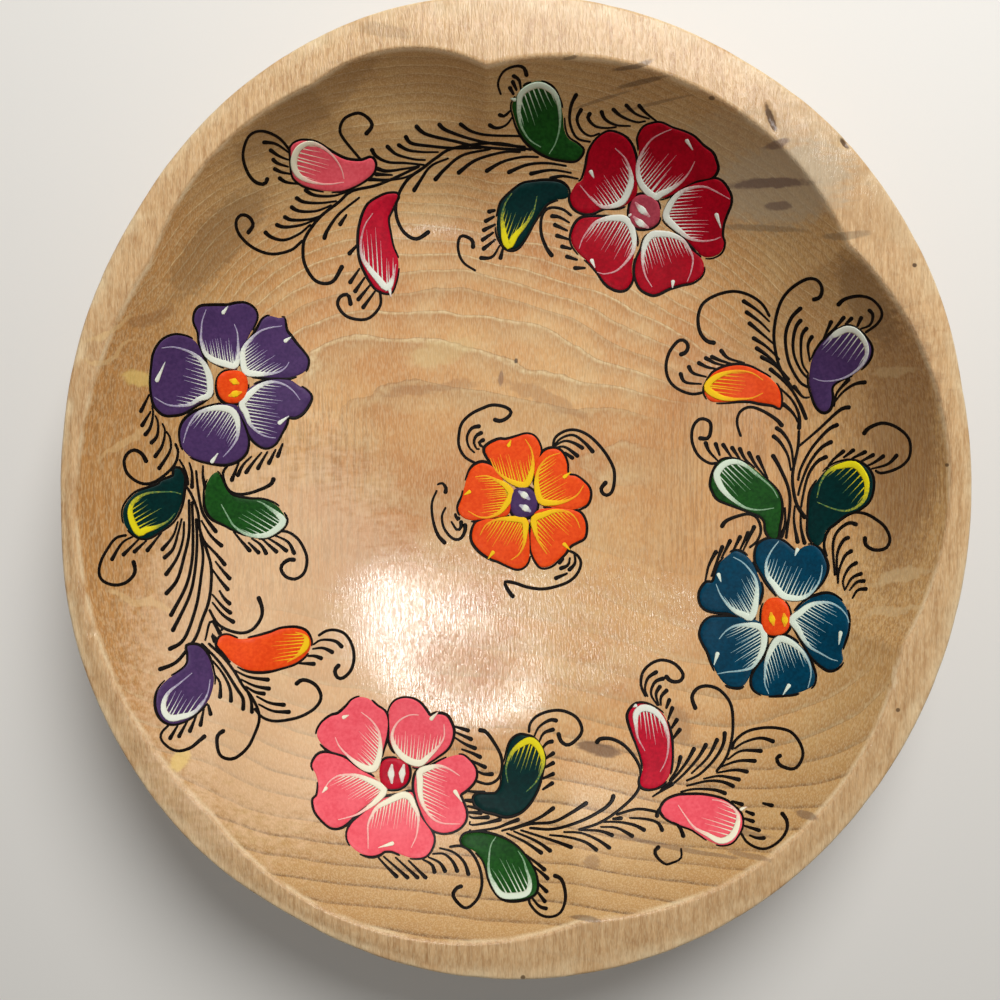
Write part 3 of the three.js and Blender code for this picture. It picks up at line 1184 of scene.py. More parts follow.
    def stains_and_painted_light(self, graph: Graph, place: Link) -> list[tuple[Link, float, Colour]]:
        """All the stains and streaks, and the patches of painted shade, sheen and highlight.

        Args:
            graph: The material's graph.
            place: Link to the place in the wood.

        Returns:
            The cover, the strength and the colour of each.
        """
        frayed = graph.add(VECTOR_MATH, place, self.fray_draw, **TIMES)
        frayed = graph.add(NOISE, frayed, named={"Scale": 1 / (self.fray_mm * MM), "Detail": 3.0})
        sway = graph.add(NOISE, place, out="Color", named={"Scale": 1 / (self.sway_mm * MM), "Detail": 3.0})
        sway = graph.add(VECTOR_MATH, sway, (0.5, 0.5, 0.5), **MINUS)
        sway = graph.add(VECTOR_MATH, sway, named={"Scale": self.mark_sway}, operation="SCALE")
        swayed = graph.add(VECTOR_MATH, place, sway, **PLUS)
        covers = [self.mark_cover(graph, swayed if mark.sways else place, frayed, mark) for mark in self.marks]
        return [(cover, 1.0, linear(mark.colour)) for cover, mark in zip(covers, self.marks)]

    def colour(self, graph: Graph, place: Link, pores: Link, flecks: Link, on_rim: Link) -> Link:
        """The wood's colour: its tones, with its painted shade, sheen and highlights, laid over one another
        from the broadest to the smallest mark.

        Args:
            graph: The material's graph.
            place: Link to the place in the wood.
            pores: Link to the share of dark pores.
            flecks: Link to the share of pale pores.
            on_rim: Link to the share by which a place is on the rim.

        Returns:
            Link to the colour.
        """
        parts = graph.add(SPLIT, place).node.outputs
        height = parts["Z"]
        share, line, pale = self.rings(graph, place)
        on_wall = graph.add(MAP_RANGE, height, *self.wall_heights)
        west = graph.add(MAP_RANGE, parts["X"], *self.west)
        west = graph.add(MATH, west, on_wall, **TIMES)
        cloud = graph.add(NOISE, place, named={"Scale": 1 / (self.cloud_mm * MM), "Detail": 3.0})
        tone = graph.add(MAP_RANGE, cloud, *self.cloud_band)
        patches = drawn_noise(graph, place, self.patch_mm, 3.0)
        patchy = graph.add(MAP_RANGE, patches, *self.patch_band)

        # The rings are faint on the near half of the floor and on the side walls.
        clear = graph.add(MAP_RANGE, height, *self.calm_heights, self.calm, 1.0)
        north = graph.add(MAP_RANGE, parts["Y"], *self.calm_until, self.calm, 1.0)
        clear = graph.add(MATH, clear, north, operation="MAXIMUM")
        sides = self.beside(graph, parts["X"], parts["Y"])
        away = graph.add(MAP_RANGE, sides, 0.0, 1.0, 1.0, self.side_calm)
        clear = graph.add(MATH, clear, away, **TIMES)
        late = graph.add(MATH, share, share, **TIMES)
        late = graph.add(MATH, late, clear, **TIMES)
        line = graph.add(MATH, line, clear, **TIMES)
        ring_tones = {COLOUR_A: linear(self.ring_dark), COLOUR_B: linear(self.ring_pale)}
        ring = graph.add(MIX, pale, named=ring_tones, **COLOURS)
        hatch = self.dashes(graph, place, self.hatch_mm, self.hatch_cut)
        hatch = graph.add(MATH, hatch, sides, **TIMES)

        # The rim shows the tool's strips, and its inner arris is pale in patches, partly from wear and partly
        # as a painted highlight along the edge.
        tool = graph.add(MAP_RANGE, drawn_noise(graph, place, self.tool_mm, 3.0), *self.tool_band)
        rim_tones = {COLOUR_A: linear(self.rim), COLOUR_B: linear(self.rim_dark)}
        rim = graph.add(MIX, tool, named=rim_tones, **COLOURS)
        rise = graph.add(MAP_RANGE, height, *self.worn_and_highlit_from)
        fall = graph.add(MAP_RANGE, height, *self.worn_and_highlit_until, 1.0, 0.0)
        worn = graph.add(MATH, rise, fall, **TIMES)
        ragged = graph.add(MAP_RANGE, patches, *self.ragged_band)
        worn = graph.add(MATH, worn, ragged, **TIMES)

        # Each layer: where it covers the wood, how strongly, and its colour.
        layers = [
            (tone, 1.0, linear(self.light)),
            (patchy, 0.5, linear(self.patch)),
            (on_wall, 0.75, linear(self.wall)),
            (west, 0.60, linear(self.west_wall)),
            (late, 0.50, linear(self.dark)),
            (line, 0.90, ring),
            (hatch, 0.40, linear(self.dark)),
            (on_rim, 0.88, rim),
            (worn, 0.60, linear(self.worn)),
            (pores, 0.20, linear(self.pore_dark)),
            (flecks, 0.20, linear(self.pore_pale)),
            *self.stains_and_painted_light(graph, place),
        ]
        colour: Link | Colour = linear(self.middle)
        for cover, strength, over in layers:
            cover = graph.add(MATH, cover, strength, **TIMES)
            colour = graph.add(MIX, cover, named={COLOUR_A: colour, COLOUR_B: over}, **COLOURS)
        return colour

    def material(self) -> bpy.types.Material:
        """Makes the wood's material.

        Returns:
            The material.
        """
        made, graph, shader = new_material(self.name)
        place = graph.add(PLACE, out="Object")
        height = graph.add(SPLIT, place, out="Z")
        on_rim = graph.add(MAP_RANGE, height, *self.rim_heights)
        pores = self.dashes(graph, place, self.pore_mm, self.pore_cut)
        flecks = self.dashes(graph, place, self.fleck_mm, self.fleck_cut)
        roughest = self.roughness + self.pore_roughness
        rough = graph.add(MAP_RANGE, pores, 0.0, 1.0, self.roughness, roughest)

        ripple = drawn_noise(graph, place, self.relief_mm, 2.0)
        relief = graph.add(MATH, flecks, pores, **MINUS)
        relief = graph.add(MATH, ripple, self.relief_share, relief, **TIMES_PLUS)
        coarser = graph.add(MATH, on_rim, self.rim_relief, 1.0, **TIMES_PLUS)
        relief = graph.add(MATH, relief, coarser, **TIMES)
        depth = self.relief_depth_mm * MM / self.relief_share
        bump = graph.add("ShaderNodeBump", named={"Strength": 1.0, "Distance": depth, "Height": relief})
        coat = graph.add(MAP_RANGE, height, *self.coat_heights, *self.coat)
        coat = graph.add(MIX, on_rim, named={NUMBER_A: coat, NUMBER_B: self.coat_on_rim})
        gloss = graph.add(MIX, on_rim, named={NUMBER_A: self.gloss, NUMBER_B: self.gloss_on_rim})
        inputs = {
            "Base Color": self.colour(graph, place, pores, flecks, on_rim),
            "Roughness": rough,
            "Specular IOR Level": gloss,
            "Normal": bump,
            "Coat Normal": bump,
            "Coat Weight": coat,
        }
        for socket, source in inputs.items():
            graph.tree.links.new(source, shader.inputs[socket])
        shader.inputs["Coat Roughness"].default_value = self.coat_roughness
        return made


def path(words: str) -> np.ndarray:
    """Reads a run of picture points, each written x,y and starred where the brush is fullest."""
    return np.array([[float(part) for part in word.lstrip("*").split(",")] for word in words.split()])


def travel(line: np.ndarray) -> np.ndarray:
    """Distance along a line to each of its points."""
    return np.concatenate([[0.0], np.cumsum(np.linalg.norm(np.diff(line, axis=0), axis=1))])


def curve(points: np.ndarray, step: float, closed: bool = False, fineness: int = 12) -> np.ndarray:
    """Draws a smooth line through points, at even steps.

    Args:
        points: The points to pass through.
        step: Distance between the line's points, in pixels.
        closed: Whether the line comes back to its start.
        fineness: How many parts each span is drawn in before it is cut into even steps.

    Returns:
        The points along the line.
    """
    if len(points) == 1:
        return points
    if closed:
        run = np.concatenate([points[-1:], points, points[:2]])
    else:
        run = np.concatenate([2 * points[:1] - points[1:2], points, 2 * points[-1:] - points[-2:-1]])
    share = np.linspace(0, 1, fineness, endpoint=False)[:, None]
    pieces = []
    for before, start, end, after in zip(run, run[1:], run[2:], run[3:]):
        bend = (2 * before - 5 * start + 4 * end - after) * share**2
        twist = (3 * start - before - 3 * end + after) * share**3
        pieces.append(0.5 * (2 * start + (end - before) * share + bend + twist))
    fine = np.concatenate(pieces + [points[:1] if closed else points[-1:]])
    travelled = travel(fine)
    even = np.linspace(0, travelled[-1], max(int(round(travelled[-1] / step)), 3) + 1)
    line = np.stack([np.interp(even, travelled, fine[:, axis]) for axis in (0, 1)], axis=1)
    return line[:-1] if closed else line


def edge_distance(points: np.ndarray, outline: np.ndarray) -> np.ndarray:
    """How far each point lies inside a closed outline, or less than nothing outside it.

    Args:
        points: Points to measure.
        outline: The outline's corners.

    Returns:
        The distance of each point from the outline, in pixels.
    """
    start, end = outline, np.roll(outline, -1, axis=0)
    side = end - start
    away = points[:, None] - start
    share = np.clip((away * side).sum(2) / np.maximum((side**2).sum(1), NEVER_ZERO), 0, 1)
    near = np.linalg.norm(away - share[..., None] * side, axis=2).min(1)
    upward = (start[:, 1] > points[:, None, 1]) != (end[:, 1] > points[:, None, 1])
    rise = np.where(side[:, 1] == 0, NEVER_ZERO, side[:, 1])
    crossing = start[:, 0] + (points[:, None, 1] - start[:, 1]) / rise * side[:, 0]
    inside = (upward & (points[:, None, 0] < crossing)).sum(1) % 2 == 1
    return np.where(inside, near, -near)


def outward(outline: np.ndarray) -> np.ndarray:
    """The direction that leaves a closed outline at each of its points.

    Args:
        outline: The outline's points.

    Returns:
        The direction at each.
    """
    following = np.roll(outline, -1, axis=0)
    run = following - np.roll(outline, 1, axis=0)
    area = (outline[:, 0] * following[:, 1] - following[:, 0] * outline[:, 1]).sum()
    side = np.stack([run[:, 1], -run[:, 0]], axis=1) * (1 if area > 0 else -1)
    return side / np.maximum(np.linalg.norm(side, axis=1, keepdims=True), NEVER_ZERO)


@dataclass(frozen=True)
class Film:
    """A patch of enamel laid down in one go: level on top, and thin at its edge."""

    node: str
    outline: np.ndarray
    finish: Enamel
    under: float = 0.02 * MM
    thickness: float = 0.20 * MM
    sunk: float = 0.05 * MM
    edge_step: float = 2.2
    grid_step: float = 4.0
    shoulder: float = 1.1
    clear_of_edge: float = 0.8
    clear_of_shoulder: float = 0.5

    def plan(self) -> tuple[np.ndarray, int]:
        """Spreads points over the patch in the picture: its border, a ring inside it, and a grid.

        Returns:
            The points, and how many of them, at the start, are the border.
        """
        border = curve(self.outline, self.edge_step, closed=True)
        ring = border - outward(border) * self.shoulder
        ring = ring[edge_distance(ring, border) > self.clear_of_edge * self.shoulder]
        spans = zip(border.min(0), border.max(0))
        columns, rows = (np.arange(low, high, self.grid_step) for low, high in spans)
        grid = np.stack(np.meshgrid(columns, rows), axis=2).reshape(-1, 2)
        inner = self.shoulder + self.clear_of_shoulder * self.grid_step
        grid = grid[edge_distance(grid, border) > inner]
        return np.concatenate([border, ring, grid]), len(border)

    def build(self, ground: Ground) -> bpy.types.Object:
        """Builds the patch on the wood and puts it in place of its CAD solid.

        Args:
            ground: The wood that it lies on.

        Returns:
            The patch's object.
        """
        flat, count = self.plan()
        sides = [(i, (i + 1) % count) for i in range(count)]
        vertices, _, faces, origin, *_ = delaunay_2d_cdt(
            [Vector(point) for point in flat], sides, [list(range(count))], 1, TOLERANCE
        )
        flat = np.array([tuple(vertex) for vertex in vertices])
        on_border = np.array([any(i < count for i in given) for given in origin])
        points, out = ground.lay(flat)
        lift = np.where(on_border, self.under, self.under + self.thickness)[:, None]
        top, bottom = points + out * lift, points - out * self.sunk
        total = len(flat)
        shell = [tuple(reversed(face)) for face in faces] + [tuple(i + total for i in face) for face in faces]
        used = {edge: True for face in faces for edge in zip(face, (*face[1:], face[0]))}
        shell += [(a, b, b + total, a + total) for a, b in used if (b, a) not in used]
        mesh = bpy.data.meshes.new(self.node)
        mesh.from_pydata(np.concatenate([top, bottom]).tolist(), [], shell)
        mesh.shade_smooth()
        mesh.materials.append(self.finish.material())
        patch = linked("painted_" + self.node, mesh)
        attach(patch, "root")
        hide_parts(self.node)
        return patch


class Taper(Enum):
    """How wide a stroke is: its half width in pixels where it is full and where it is thin."""

    LINER = (2.5, 0.9)
    BELLY = (3.6, 0.4)
    SLENDER = (3.7, 1.1)
    HAIR = (0.6, 0.14)
    DROP = (2.7, 0.5)
    EDGE = (1.8, 0.7)


@dataclass(frozen=True)
class Hand:
    """How the painter's hand moves the brush, in pixels of the picture and shares of a stroke."""

    end_stops: tuple[float, ...] = (0.0, 0.12, 0.45, 1.0)
    end_share: float = 0.3
    end_gap: float = 0.4
    end_blunt: float = 0.02

    liner_step: float = 3.2
    dot: tuple[Pair, Pair] = ((-1.5, 0.0), (1.5, 0.4))
    long_liner: float = 90.0
    liner_width: Pair = (1.3, 0.5)
    liner_thinning: Pair = (0.45, 0.25)
    head_reach: float = 9.0

    belly_step: float = 3.0
    peak_span: Pair = (0.12, 0.88)
    belly_power: float = 4.0
    belly_body: float = 0.6
    belly_least_load: float = 0.15

    drop_step: float = 1.6
    drop_power: float = 0.8
    drop_drying: float = 0.6

    hair_span: Pair = (0.06, 0.94)
    hair_gather: float = 1.2
    hair_power: float = 2.2
    hair_length: Pair = (0.40, 0.70)
    hair_uneven: Pair = (0.7, 1.2)
    hair_lean: Pair = (0.05, 0.25)
    hair_points: int = 6
    hair_width: Pair = (0.8, 1.1)
    hair_load: Pair = (0.85, 0.8)

    edge_step: float = 2.4
    edge_off: float = 1.0
    edge_stray: float = 0.45
    edge_calm: Pair = (0.3, 1.0)
    edge_phase: Pair = (0.0, 6.3)
    edge_clear: float = 19.0
    edge_breaks: tuple[int, int] = (1, 4)
    break_points: tuple[int, int] = (2, 5)
    shortest_run: int = 4
    edge_swell: Pair = (0.75, 0.25)
    swell_waves: float = 9.0
    swell_phase: Pair = (0.0, 6.0)


@dataclass
class BrushWork:
    """Brush strokes of one colour, swept along their paths as low rounded ridges of paint."""

    ground: Ground
    name: str
    finish: Enamel | ThinPaint
    lift: float = 0.05 * MM
    height_share: float = 0.1
    sides: int = 8
    hand: Hand = Hand()
    points: list[np.ndarray] = field(default_factory=list)
    outs: list[np.ndarray] = field(default_factory=list)
    widths: list[np.ndarray] = field(default_factory=list)
    loads: list[np.ndarray] = field(default_factory=list)

    def add(self, line: np.ndarray, half: np.ndarray, load: np.ndarray | float = 1.0) -> None:
        """Adds one stroke with rounded ends.

        Args:
            line: The stroke's path in the picture.
            half: Its half width at each point, in pixels.
            load: How full the brush is at each point.
        """
        load = np.broadcast_to(load, half.shape)
        travelled = travel(line)
        length = travelled[-1]
        longest = self.hand.end_share * length
        first, last = (np.array(self.hand.end_stops) * min(reach, longest) for reach in half[[0, -1]])
        last = length - last[::-1]
        gap = self.hand.end_gap
        body = travelled[(travelled > first[-1] + gap) & (travelled < last[0] - gap)]
        stops = np.concatenate([first, body, last])
        line = np.stack([np.interp(stops, travelled, line[:, axis]) for axis in (0, 1)], axis=1)
        width, full = np.interp(stops, travelled, half), np.interp(stops, travelled, load)
        for to_end in (stops, length - stops):
            share = np.clip(1 - to_end / np.maximum(width, NEVER_ZERO), 0, 1)
            width = width * np.sqrt(np.maximum(1 - share**2, self.hand.end_blunt))
        points, out = self.ground.lay(line)
        self.points.append(points + out * self.lift)
        self.outs.append(out)
        self.widths.append(width * self.ground.pixel(points))
        self.loads.append(full)

    def liner(self, words: str, head_last: bool) -> None:
        """Adds liner strokes, one a line of text, each with a full round head and a thin tail.

        Args:
            words: The strokes' points.
            head_last: Whether the head is the last point of each.
        """
        head, tail = Taper.LINER.value
        least, more = self.hand.liner_width
        thinning, kept = self.hand.liner_thinning
        for row in words.strip().splitlines():
            points = path(row)
            if len(points) == 1:
                points = points + self.hand.dot
            line = curve(points[::-1] if head_last else points, self.hand.liner_step)
            travelled = np.linspace(0, 1, len(line)) * np.linalg.norm(np.diff(line, axis=0), axis=1).sum()
            long = min(travelled[-1] / self.hand.long_liner, 1.0)
            thinned = 1 - (thinning - kept * long) * travelled / max(travelled[-1], 1.0)
            body = (least + more * long) * thinned
            half = np.maximum(body + (head - body) * np.exp(-travelled / self.hand.head_reach), tail)
            self.add(line, half)

    def belly(self, words: str, taper: Taper) -> None:
        """Adds one stroke that swells where a point is starred, or in its middle, and thins to both ends.

        Args:
            words: The stroke's points.
            taper: Its widths.
        """
        full, thin = taper.value
        points = path(words)
        starred = [i for i, word in enumerate(words.split()) if word.startswith("*")]
        line = curve(points, self.hand.belly_step)
        share = np.linspace(0, 1, len(line))
        peak = 0.5
        if starred:
            near = np.linalg.norm(line - points[starred[0]], axis=1).argmin()
            peak = float(np.clip(share[near], *self.hand.peak_span))
        away = np.where(share < peak, (peak - share) / peak, (share - peak) / (1 - peak))
        swell = np.cos(np.clip(away, 0, 1) * math.pi / 2) ** self.hand.belly_power
        thin = thin + self.hand.belly_body * (1 - away**4)
        least = self.hand.belly_least_load
        self.add(line, thin + (full - thin) * swell, least + (1 - least) * swell)

    def drop(self, words: str) -> None:
        """Adds a touch of the brush, full at its first point and drawn out to its last.

        Args:
            words: The touch's points.
        """
        full, thin = Taper.DROP.value
        line = curve(path(words), self.hand.drop_step)
        share = np.linspace(0, 1, len(line))
        half = full + (thin - full) * share**self.hand.drop_power
        self.add(line, half, 1.0 - self.hand.drop_drying * share)

    def hairs(self, words: str, way: Pair, length: float, count: int, dice: Dice) -> None:
        """Draws fine hairs out of a swelling stroke, the longest from where it is fullest.

        Args:
            words: The points of the stroke that they leave.
            way: The direction that they run in.
            length: Length of the longest, in pixels.
            count: How many there are.
            dice: Source of their unevenness.
        """
        full, thin = Taper.HAIR.value
        hand = self.hand
        root = curve(path(words), 1.0)
        direction = np.array(way) / np.linalg.norm(way)
        side = np.array([-direction[1], direction[0]])
        offsets = (root - root.mean(0)) @ side
        reach = (root - root.mean(0)) @ direction
        least, more = hand.hair_length
        for share in np.linspace(*hand.hair_span, count):
            gap = np.abs(offsets - (offsets.min() + share * np.ptp(offsets)))
            near = gap < hand.hair_gather
            start = root[near][reach[near].argmin()] if near.any() else root[gap.argmin()]
            middle = 1 - abs(2 * share - 1) ** hand.hair_power
            long = length * (least + more * middle) * dice.uniform(*hand.hair_uneven)
            lean = side * (share - 0.5) * dice.uniform(*hand.hair_lean)
            along = np.linspace(0, 1, hand.hair_points)[:, None]
            line = start + (direction + lean * along) * along * long
            half = full * dice.uniform(*hand.hair_width) * (1 - along[:, 0]) + thin
            self.add(line, half, hand.hair_load[0] - hand.hair_load[1] * along[:, 0])

    def border(self, outline: np.ndarray, keep: np.ndarray, dice: Dice) -> None:
        """Draws a broken liner line round a patch, just off its edge.

        Args:
            outline: The patch's outline.
            keep: Points near which no line is drawn, such as a flower's middle.
            dice: Source of its breaks and of how far it strays.
        """
        full, thin = Taper.EDGE.value
        hand = self.hand
        edge = curve(outline, hand.edge_step, closed=True)
        count = len(edge)
        turn = np.arange(count) / count * 2 * math.pi
        wave = np.sin(turn * 2 + dice.uniform(*hand.edge_phase))
        stray = hand.edge_off + hand.edge_stray * wave * dice.uniform(*hand.edge_calm)
        line = edge + outward(edge) * stray[:, None]
        drawn = np.ones(count, bool)
        if len(keep):
            gaps = np.linalg.norm(line[:, None] - keep[None], axis=2).min(1)
            drawn &= gaps > hand.edge_clear
        for _ in range(int(dice.integers(*hand.edge_breaks))):
            start, width = int(dice.integers(count)), int(dice.integers(*hand.break_points))
            drawn[(start + np.arange(width)) % count] = False
        first = int(np.argmin(drawn))
        run: list[int] = []
        for i in [*((first + np.arange(count)) % count), first]:
            if drawn[i]:
                run.append(i)
                continue
            if len(run) > hand.shortest_run:
                share = np.linspace(0, 1, len(run))
                least, more = hand.edge_swell
                wave = np.sin(share * hand.swell_waves + dice.uniform(*hand.swell_phase))
                uneven = least + more * wave
                self.add(line[run], thin + (full - thin) * (np.sin(share * math.pi) ** 0.5 * uneven))
            run = []

    def build(self) -> bpy.types.Object:
        """Sweeps all the strokes into one mesh.

        Returns:
            The strokes' object.
        """
        mesh = bpy.data.meshes.new(self.name)
        ends = np.cumsum([len(points) for points in self.points])
        starts = np.concatenate([[0], ends[:-1]])
        edges = [(i, i + 1) for a, b in zip(starts.tolist(), ends.tolist()) for i in range(a, b - 1)]
        mesh.from_pydata(np.concatenate(self.points).tolist(), edges, [])
        for name, kind, data, values in (
            ("out", "FLOAT_VECTOR", "vector", self.outs),
            ("half_width", "FLOAT", "value", self.widths),
            ("load", "FLOAT", "value", self.loads),
        ):
            layer = mesh.attributes.new(name, kind, "POINT")
            layer.data.foreach_set(data, np.concatenate(values).astype(np.float32).ravel())
        sizes = {"Height share": self.height_share, "Sides": self.sides, "Enamel": self.finish.material()}
        strokes = grown(linked(self.name, mesh), stroke_tree(), sizes)
        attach(strokes, "root")
        return strokes


def stroke_tree() -> bpy.types.NodeTree:
    """Finds or makes the tree that sweeps a flattened round along each stroke's path.

    Returns:
        The geometry node tree.
    """
    name = "brush_stroke"
    if found := bpy.data.node_groups.get(name):
        return found
    kinds = {"Height share": "NodeSocketFloat", "Sides": "NodeSocketInt", "Enamel": "NodeSocketMaterial"}
    graph, size = shape_tree(name, kinds)
    attribute = "GeometryNodeInputNamedAttribute"
    out = graph.add(attribute, "out", data_type="FLOAT_VECTOR")
    half = graph.add(attribute, "half_width", data_type="FLOAT")
    lines = graph.add("GeometryNodeMeshToCurve", size["Geometry"])
    lines = graph.add("GeometryNodeSetCurveNormal", lines, named={"Normal": out}, mode="FREE")
    ring = graph.add("GeometryNodeCurvePrimitiveCircle", named={"Resolution": size["Sides"]})
    flat = graph.add(JOIN, size["Height share"], 1.0, 1.0)
    ring = graph.add("GeometryNodeTransform", ring, named={"Scale": flat})
    ridge = graph.add("GeometryNodeCurveToMesh", lines, ring, named={"Scale": half, "Fill Caps": True})
    return graph.end(ridge, size["Enamel"])


CRIMSON = Enamel("crimson_oil_enamel", "#B0061F", "#960519", "crimson_enamel")
# The same crimson enamel, painted lighter on the buds where they lie in more light; the pink flower's eye is
# painted in it too.
LIT_CRIMSON = Enamel("lit_crimson_oil_enamel", "#C4152F", "#AA1028", "crimson_enamel")
ROSE = Enamel("rose_oil_enamel", "#B84A58", "#A23A49", "rose_enamel")
VIOLET = Enamel("violet_oil_enamel", "#503763", "#432E57", "violet_enamel")
ORANGE = Enamel("orange_oil_enamel", "#F2551B", "#E34312", "orange_enamel")
TEAL = Enamel("teal_oil_enamel", "#023F58", "#023247", "teal_enamel")
CORAL = Enamel("coral_oil_enamel", "#F2646F", "#E9525F", "coral_enamel")
GREEN = Enamel("green_oil_enamel", "#1D511A", "#133D13", "green_enamel")
DARK_GREEN = Enamel("dark_green_oil_enamel", "#042D2B", "#032322", "dark_green_enamel")
BLACK = Enamel("black_liner_enamel", "#0C0907", "#1A1410")

WHITE_ON_CRIMSON = ThinPaint("white_over_crimson", "#E3E6D8", "#C98087")
WHITE_ON_VIOLET = ThinPaint("white_over_violet", "#E4E8D8", "#9A8DAE")
WHITE_ON_TEAL = ThinPaint("white_over_teal", "#DCE8D6", "#86ABB4")
WHITE_ON_CORAL = ThinPaint("white_over_coral", "#F1EBCF", "#F6A9A4")
WHITE_ON_GREEN = ThinPaint("white_over_green", "#D5E3CC", "#6F9A70")
YELLOW = ThinPaint("yellow_over_orange", "#F6C61C", "#F39A22")
YELLOW_ON_GREEN = ThinPaint("yellow_over_green", "#E2D31C", "#3F6B45")
WHITE = ThinPaint("plain_white", "#E8E6D6", "#D9C9C0")


@dataclass(frozen=True)
class Petal:
    """One petal: its outline, the pale stroke round its root with its hairs, and a touch of light."""

    outline: str
    root: str
    hair_way: Pair
    hair_length: float
    touch: str


@dataclass(frozen=True)
class Flower:
    """A flower of five petals round a dab of another colour."""

    node: str
    finish: Enamel
    pale: ThinPaint
    eye: tuple[float, float, float, float]
    eye_finish: Enamel
    eye_pale: ThinPaint
    eye_touches: tuple[str, ...]
    petals: tuple[Petal, ...]
    hairs: int = 15
    pale_lift: float = 0.24 * MM
    eye_under: float = 0.12 * MM
    eye_thickness: float = 0.34 * MM
    eye_lift: float = 0.46 * MM
    eye_points: int = 14
    eye_squareness: float = 2.4
    eye_wobble: float = 0.03

    def eye_outline(self) -> tuple[np.ndarray, np.ndarray]:
        """The dab in the middle, a little squarer than an oval.

        Returns:
            The middle of the dab, and its outline.
        """
        left, right, top, bottom = self.eye
        middle = np.array([(left + right) / 2, (top + bottom) / 2])
        half = np.array([(right - left) / 2, (bottom - top) / 2])
        turn = np.arange(self.eye_points) / self.eye_points * 2 * math.pi
        ways = np.stack([np.cos(turn), np.sin(turn)], axis=1)
        wobble = 1 + self.eye_wobble * np.sin(turn * 3 + left)[:, None]
        return middle, middle + np.sign(ways) * np.abs(ways) ** (2 / self.eye_squareness) * half * wobble

    def build(self, ground: Ground, lines: BrushWork, dice: Dice) -> Iterator[bpy.types.Object]:
        """Paints the flower.

        Args:
            ground: The wood that it lies on.
            lines: The black lines round it are added here.
            dice: Source of the brush's unevenness.

        Yields:
            Each finished piece.
        """
        middle, eye = self.eye_outline()
        roots = BrushWork(ground, self.node + "_pale_strokes", self.pale, self.pale_lift)
        for count, petal in enumerate(self.petals, 1):
            outline = path(petal.outline)
            yield Film(f"{self.node}_petal_{count}", outline, self.finish).build(ground)
            lines.border(outline, middle[None], dice)
            roots.belly(petal.root, Taper.BELLY)
            roots.hairs(petal.root, petal.hair_way, petal.hair_length, self.hairs, dice)
            roots.drop(petal.touch)
        yield roots.build()
        dab = Film(f"{self.node}_centre", eye, self.eye_finish, self.eye_under, self.eye_thickness)
        yield dab.build(ground)
        lines.border(eye, np.empty((0, 2)), dice)
        touches = BrushWork(ground, self.node + "_eye_strokes", self.eye_pale, self.eye_lift)
        for words in self.eye_touches:
            touches.belly(words, Taper.SLENDER)
        yield touches.build()


@dataclass(frozen=True)
class Leaf:
    """A leaf or bud painted in one curl of the brush, with a pale or yellow stroke round its tip."""

    node: str
    finish: Enamel
    pale: ThinPaint
    outline: str
    tip: str
    hair_way: Pair
    hair_length: float
    touch: str = ""
    hairs: int = 8
    pale_lift: float = 0.24 * MM

    def build(self, ground: Ground, lines: BrushWork, dice: Dice) -> Iterator[bpy.types.Object]:
        """Paints the leaf.

        Args:
            ground: The wood that it lies on.
            lines: The black lines round it are added here.
            dice: Source of the brush's unevenness.

        Yields:
            Each finished piece.
        """
        outline = path(self.outline)
        yield Film(self.node, outline, self.finish).build(ground)
        lines.border(outline, np.empty((0, 2)), dice)
        tips = BrushWork(ground, self.node + "_pale_strokes", self.pale, self.pale_lift)
        tips.belly(self.tip, Taper.BELLY)
        tips.hairs(self.tip, self.hair_way, self.hair_length, self.hairs, dice)
        if self.touch:
            tips.drop(self.touch)
        yield tips.build()


# Points are pixels of the picture, as the brush went over them. A star marks its fullest point.
RED_PETALS = (
    Petal(
        "636,196 637,178 635,155 628,140 617,133 607,132 596,140 589,152 586,168 582,180 576,184 "
        "570,196 573,207 582,213 593,213 605,208 622,207",
        "615,148 625,158 630,171 631,182 *627,194 622,202 613,206 603,207 596,203 588,195 580,185",
        (-0.55, -0.83), 26, "590,170 594,178",
    ),
    Petal(
        "655,199 642,188 637,170 639,150 638,138 643,128 651,124 661,123 672,128 684,132 694,137 "
        "703,146 712,153 716,162 717,170 711,178 697,181 685,187 672,195",
        "672,129 662,133 651,140 642,153 638,165 639,178 644,188 *655,197 661,194 671,189 682,181 "
        "690,171 695,161",
        (0.64, -0.77), 36, "686,139 693,150",
    ),
    Petal(
        "663,219 668,205 678,192 690,185 703,181 714,179 722,182 728,190 731,198 730,206 727,213 "
        "723,225 722,236 724,243 721,252 712,257 702,256 694,248 684,238 674,229",
        "730,199 717,192 706,187 695,187 683,191 674,199 668,209 *666,217 673,225 681,232 689,238 "
        "701,241 713,240 721,237",
        (1.0, -0.05), 32, "716,213 721,228",
    ),
    Petal(
        "648,236 641,250 636,262 635,275 640,288 650,294 657,294 667,289 672,287 683,284 693,282 "
        "702,275 704,266 701,258 692,250 684,240 670,235",
        "652,287 646,277 643,266 643,254 646,242 *652,235 659,234 671,235 682,240 689,249 693,259 "
        "691,272 687,282",
        (0.33, 0.94), 28, "673,280 672.5,288",
    ),
    Petal(
        "628,226 615,218 600,217 583,218 575,225 571,237 573,246 580,255 588,262 597,272 606,284 "
        "617,290 626,289 632,280 632,268 634,255 637,242 634,231",
        "579,249 582,240 587,232 595,223 606,219 618,218 *626,220 631,227 634,239 633,251 626,262 "
        "616,271 604,274 597,272",
        (-0.5, 0.87), 32, "591,259 595,268",
    ),
)

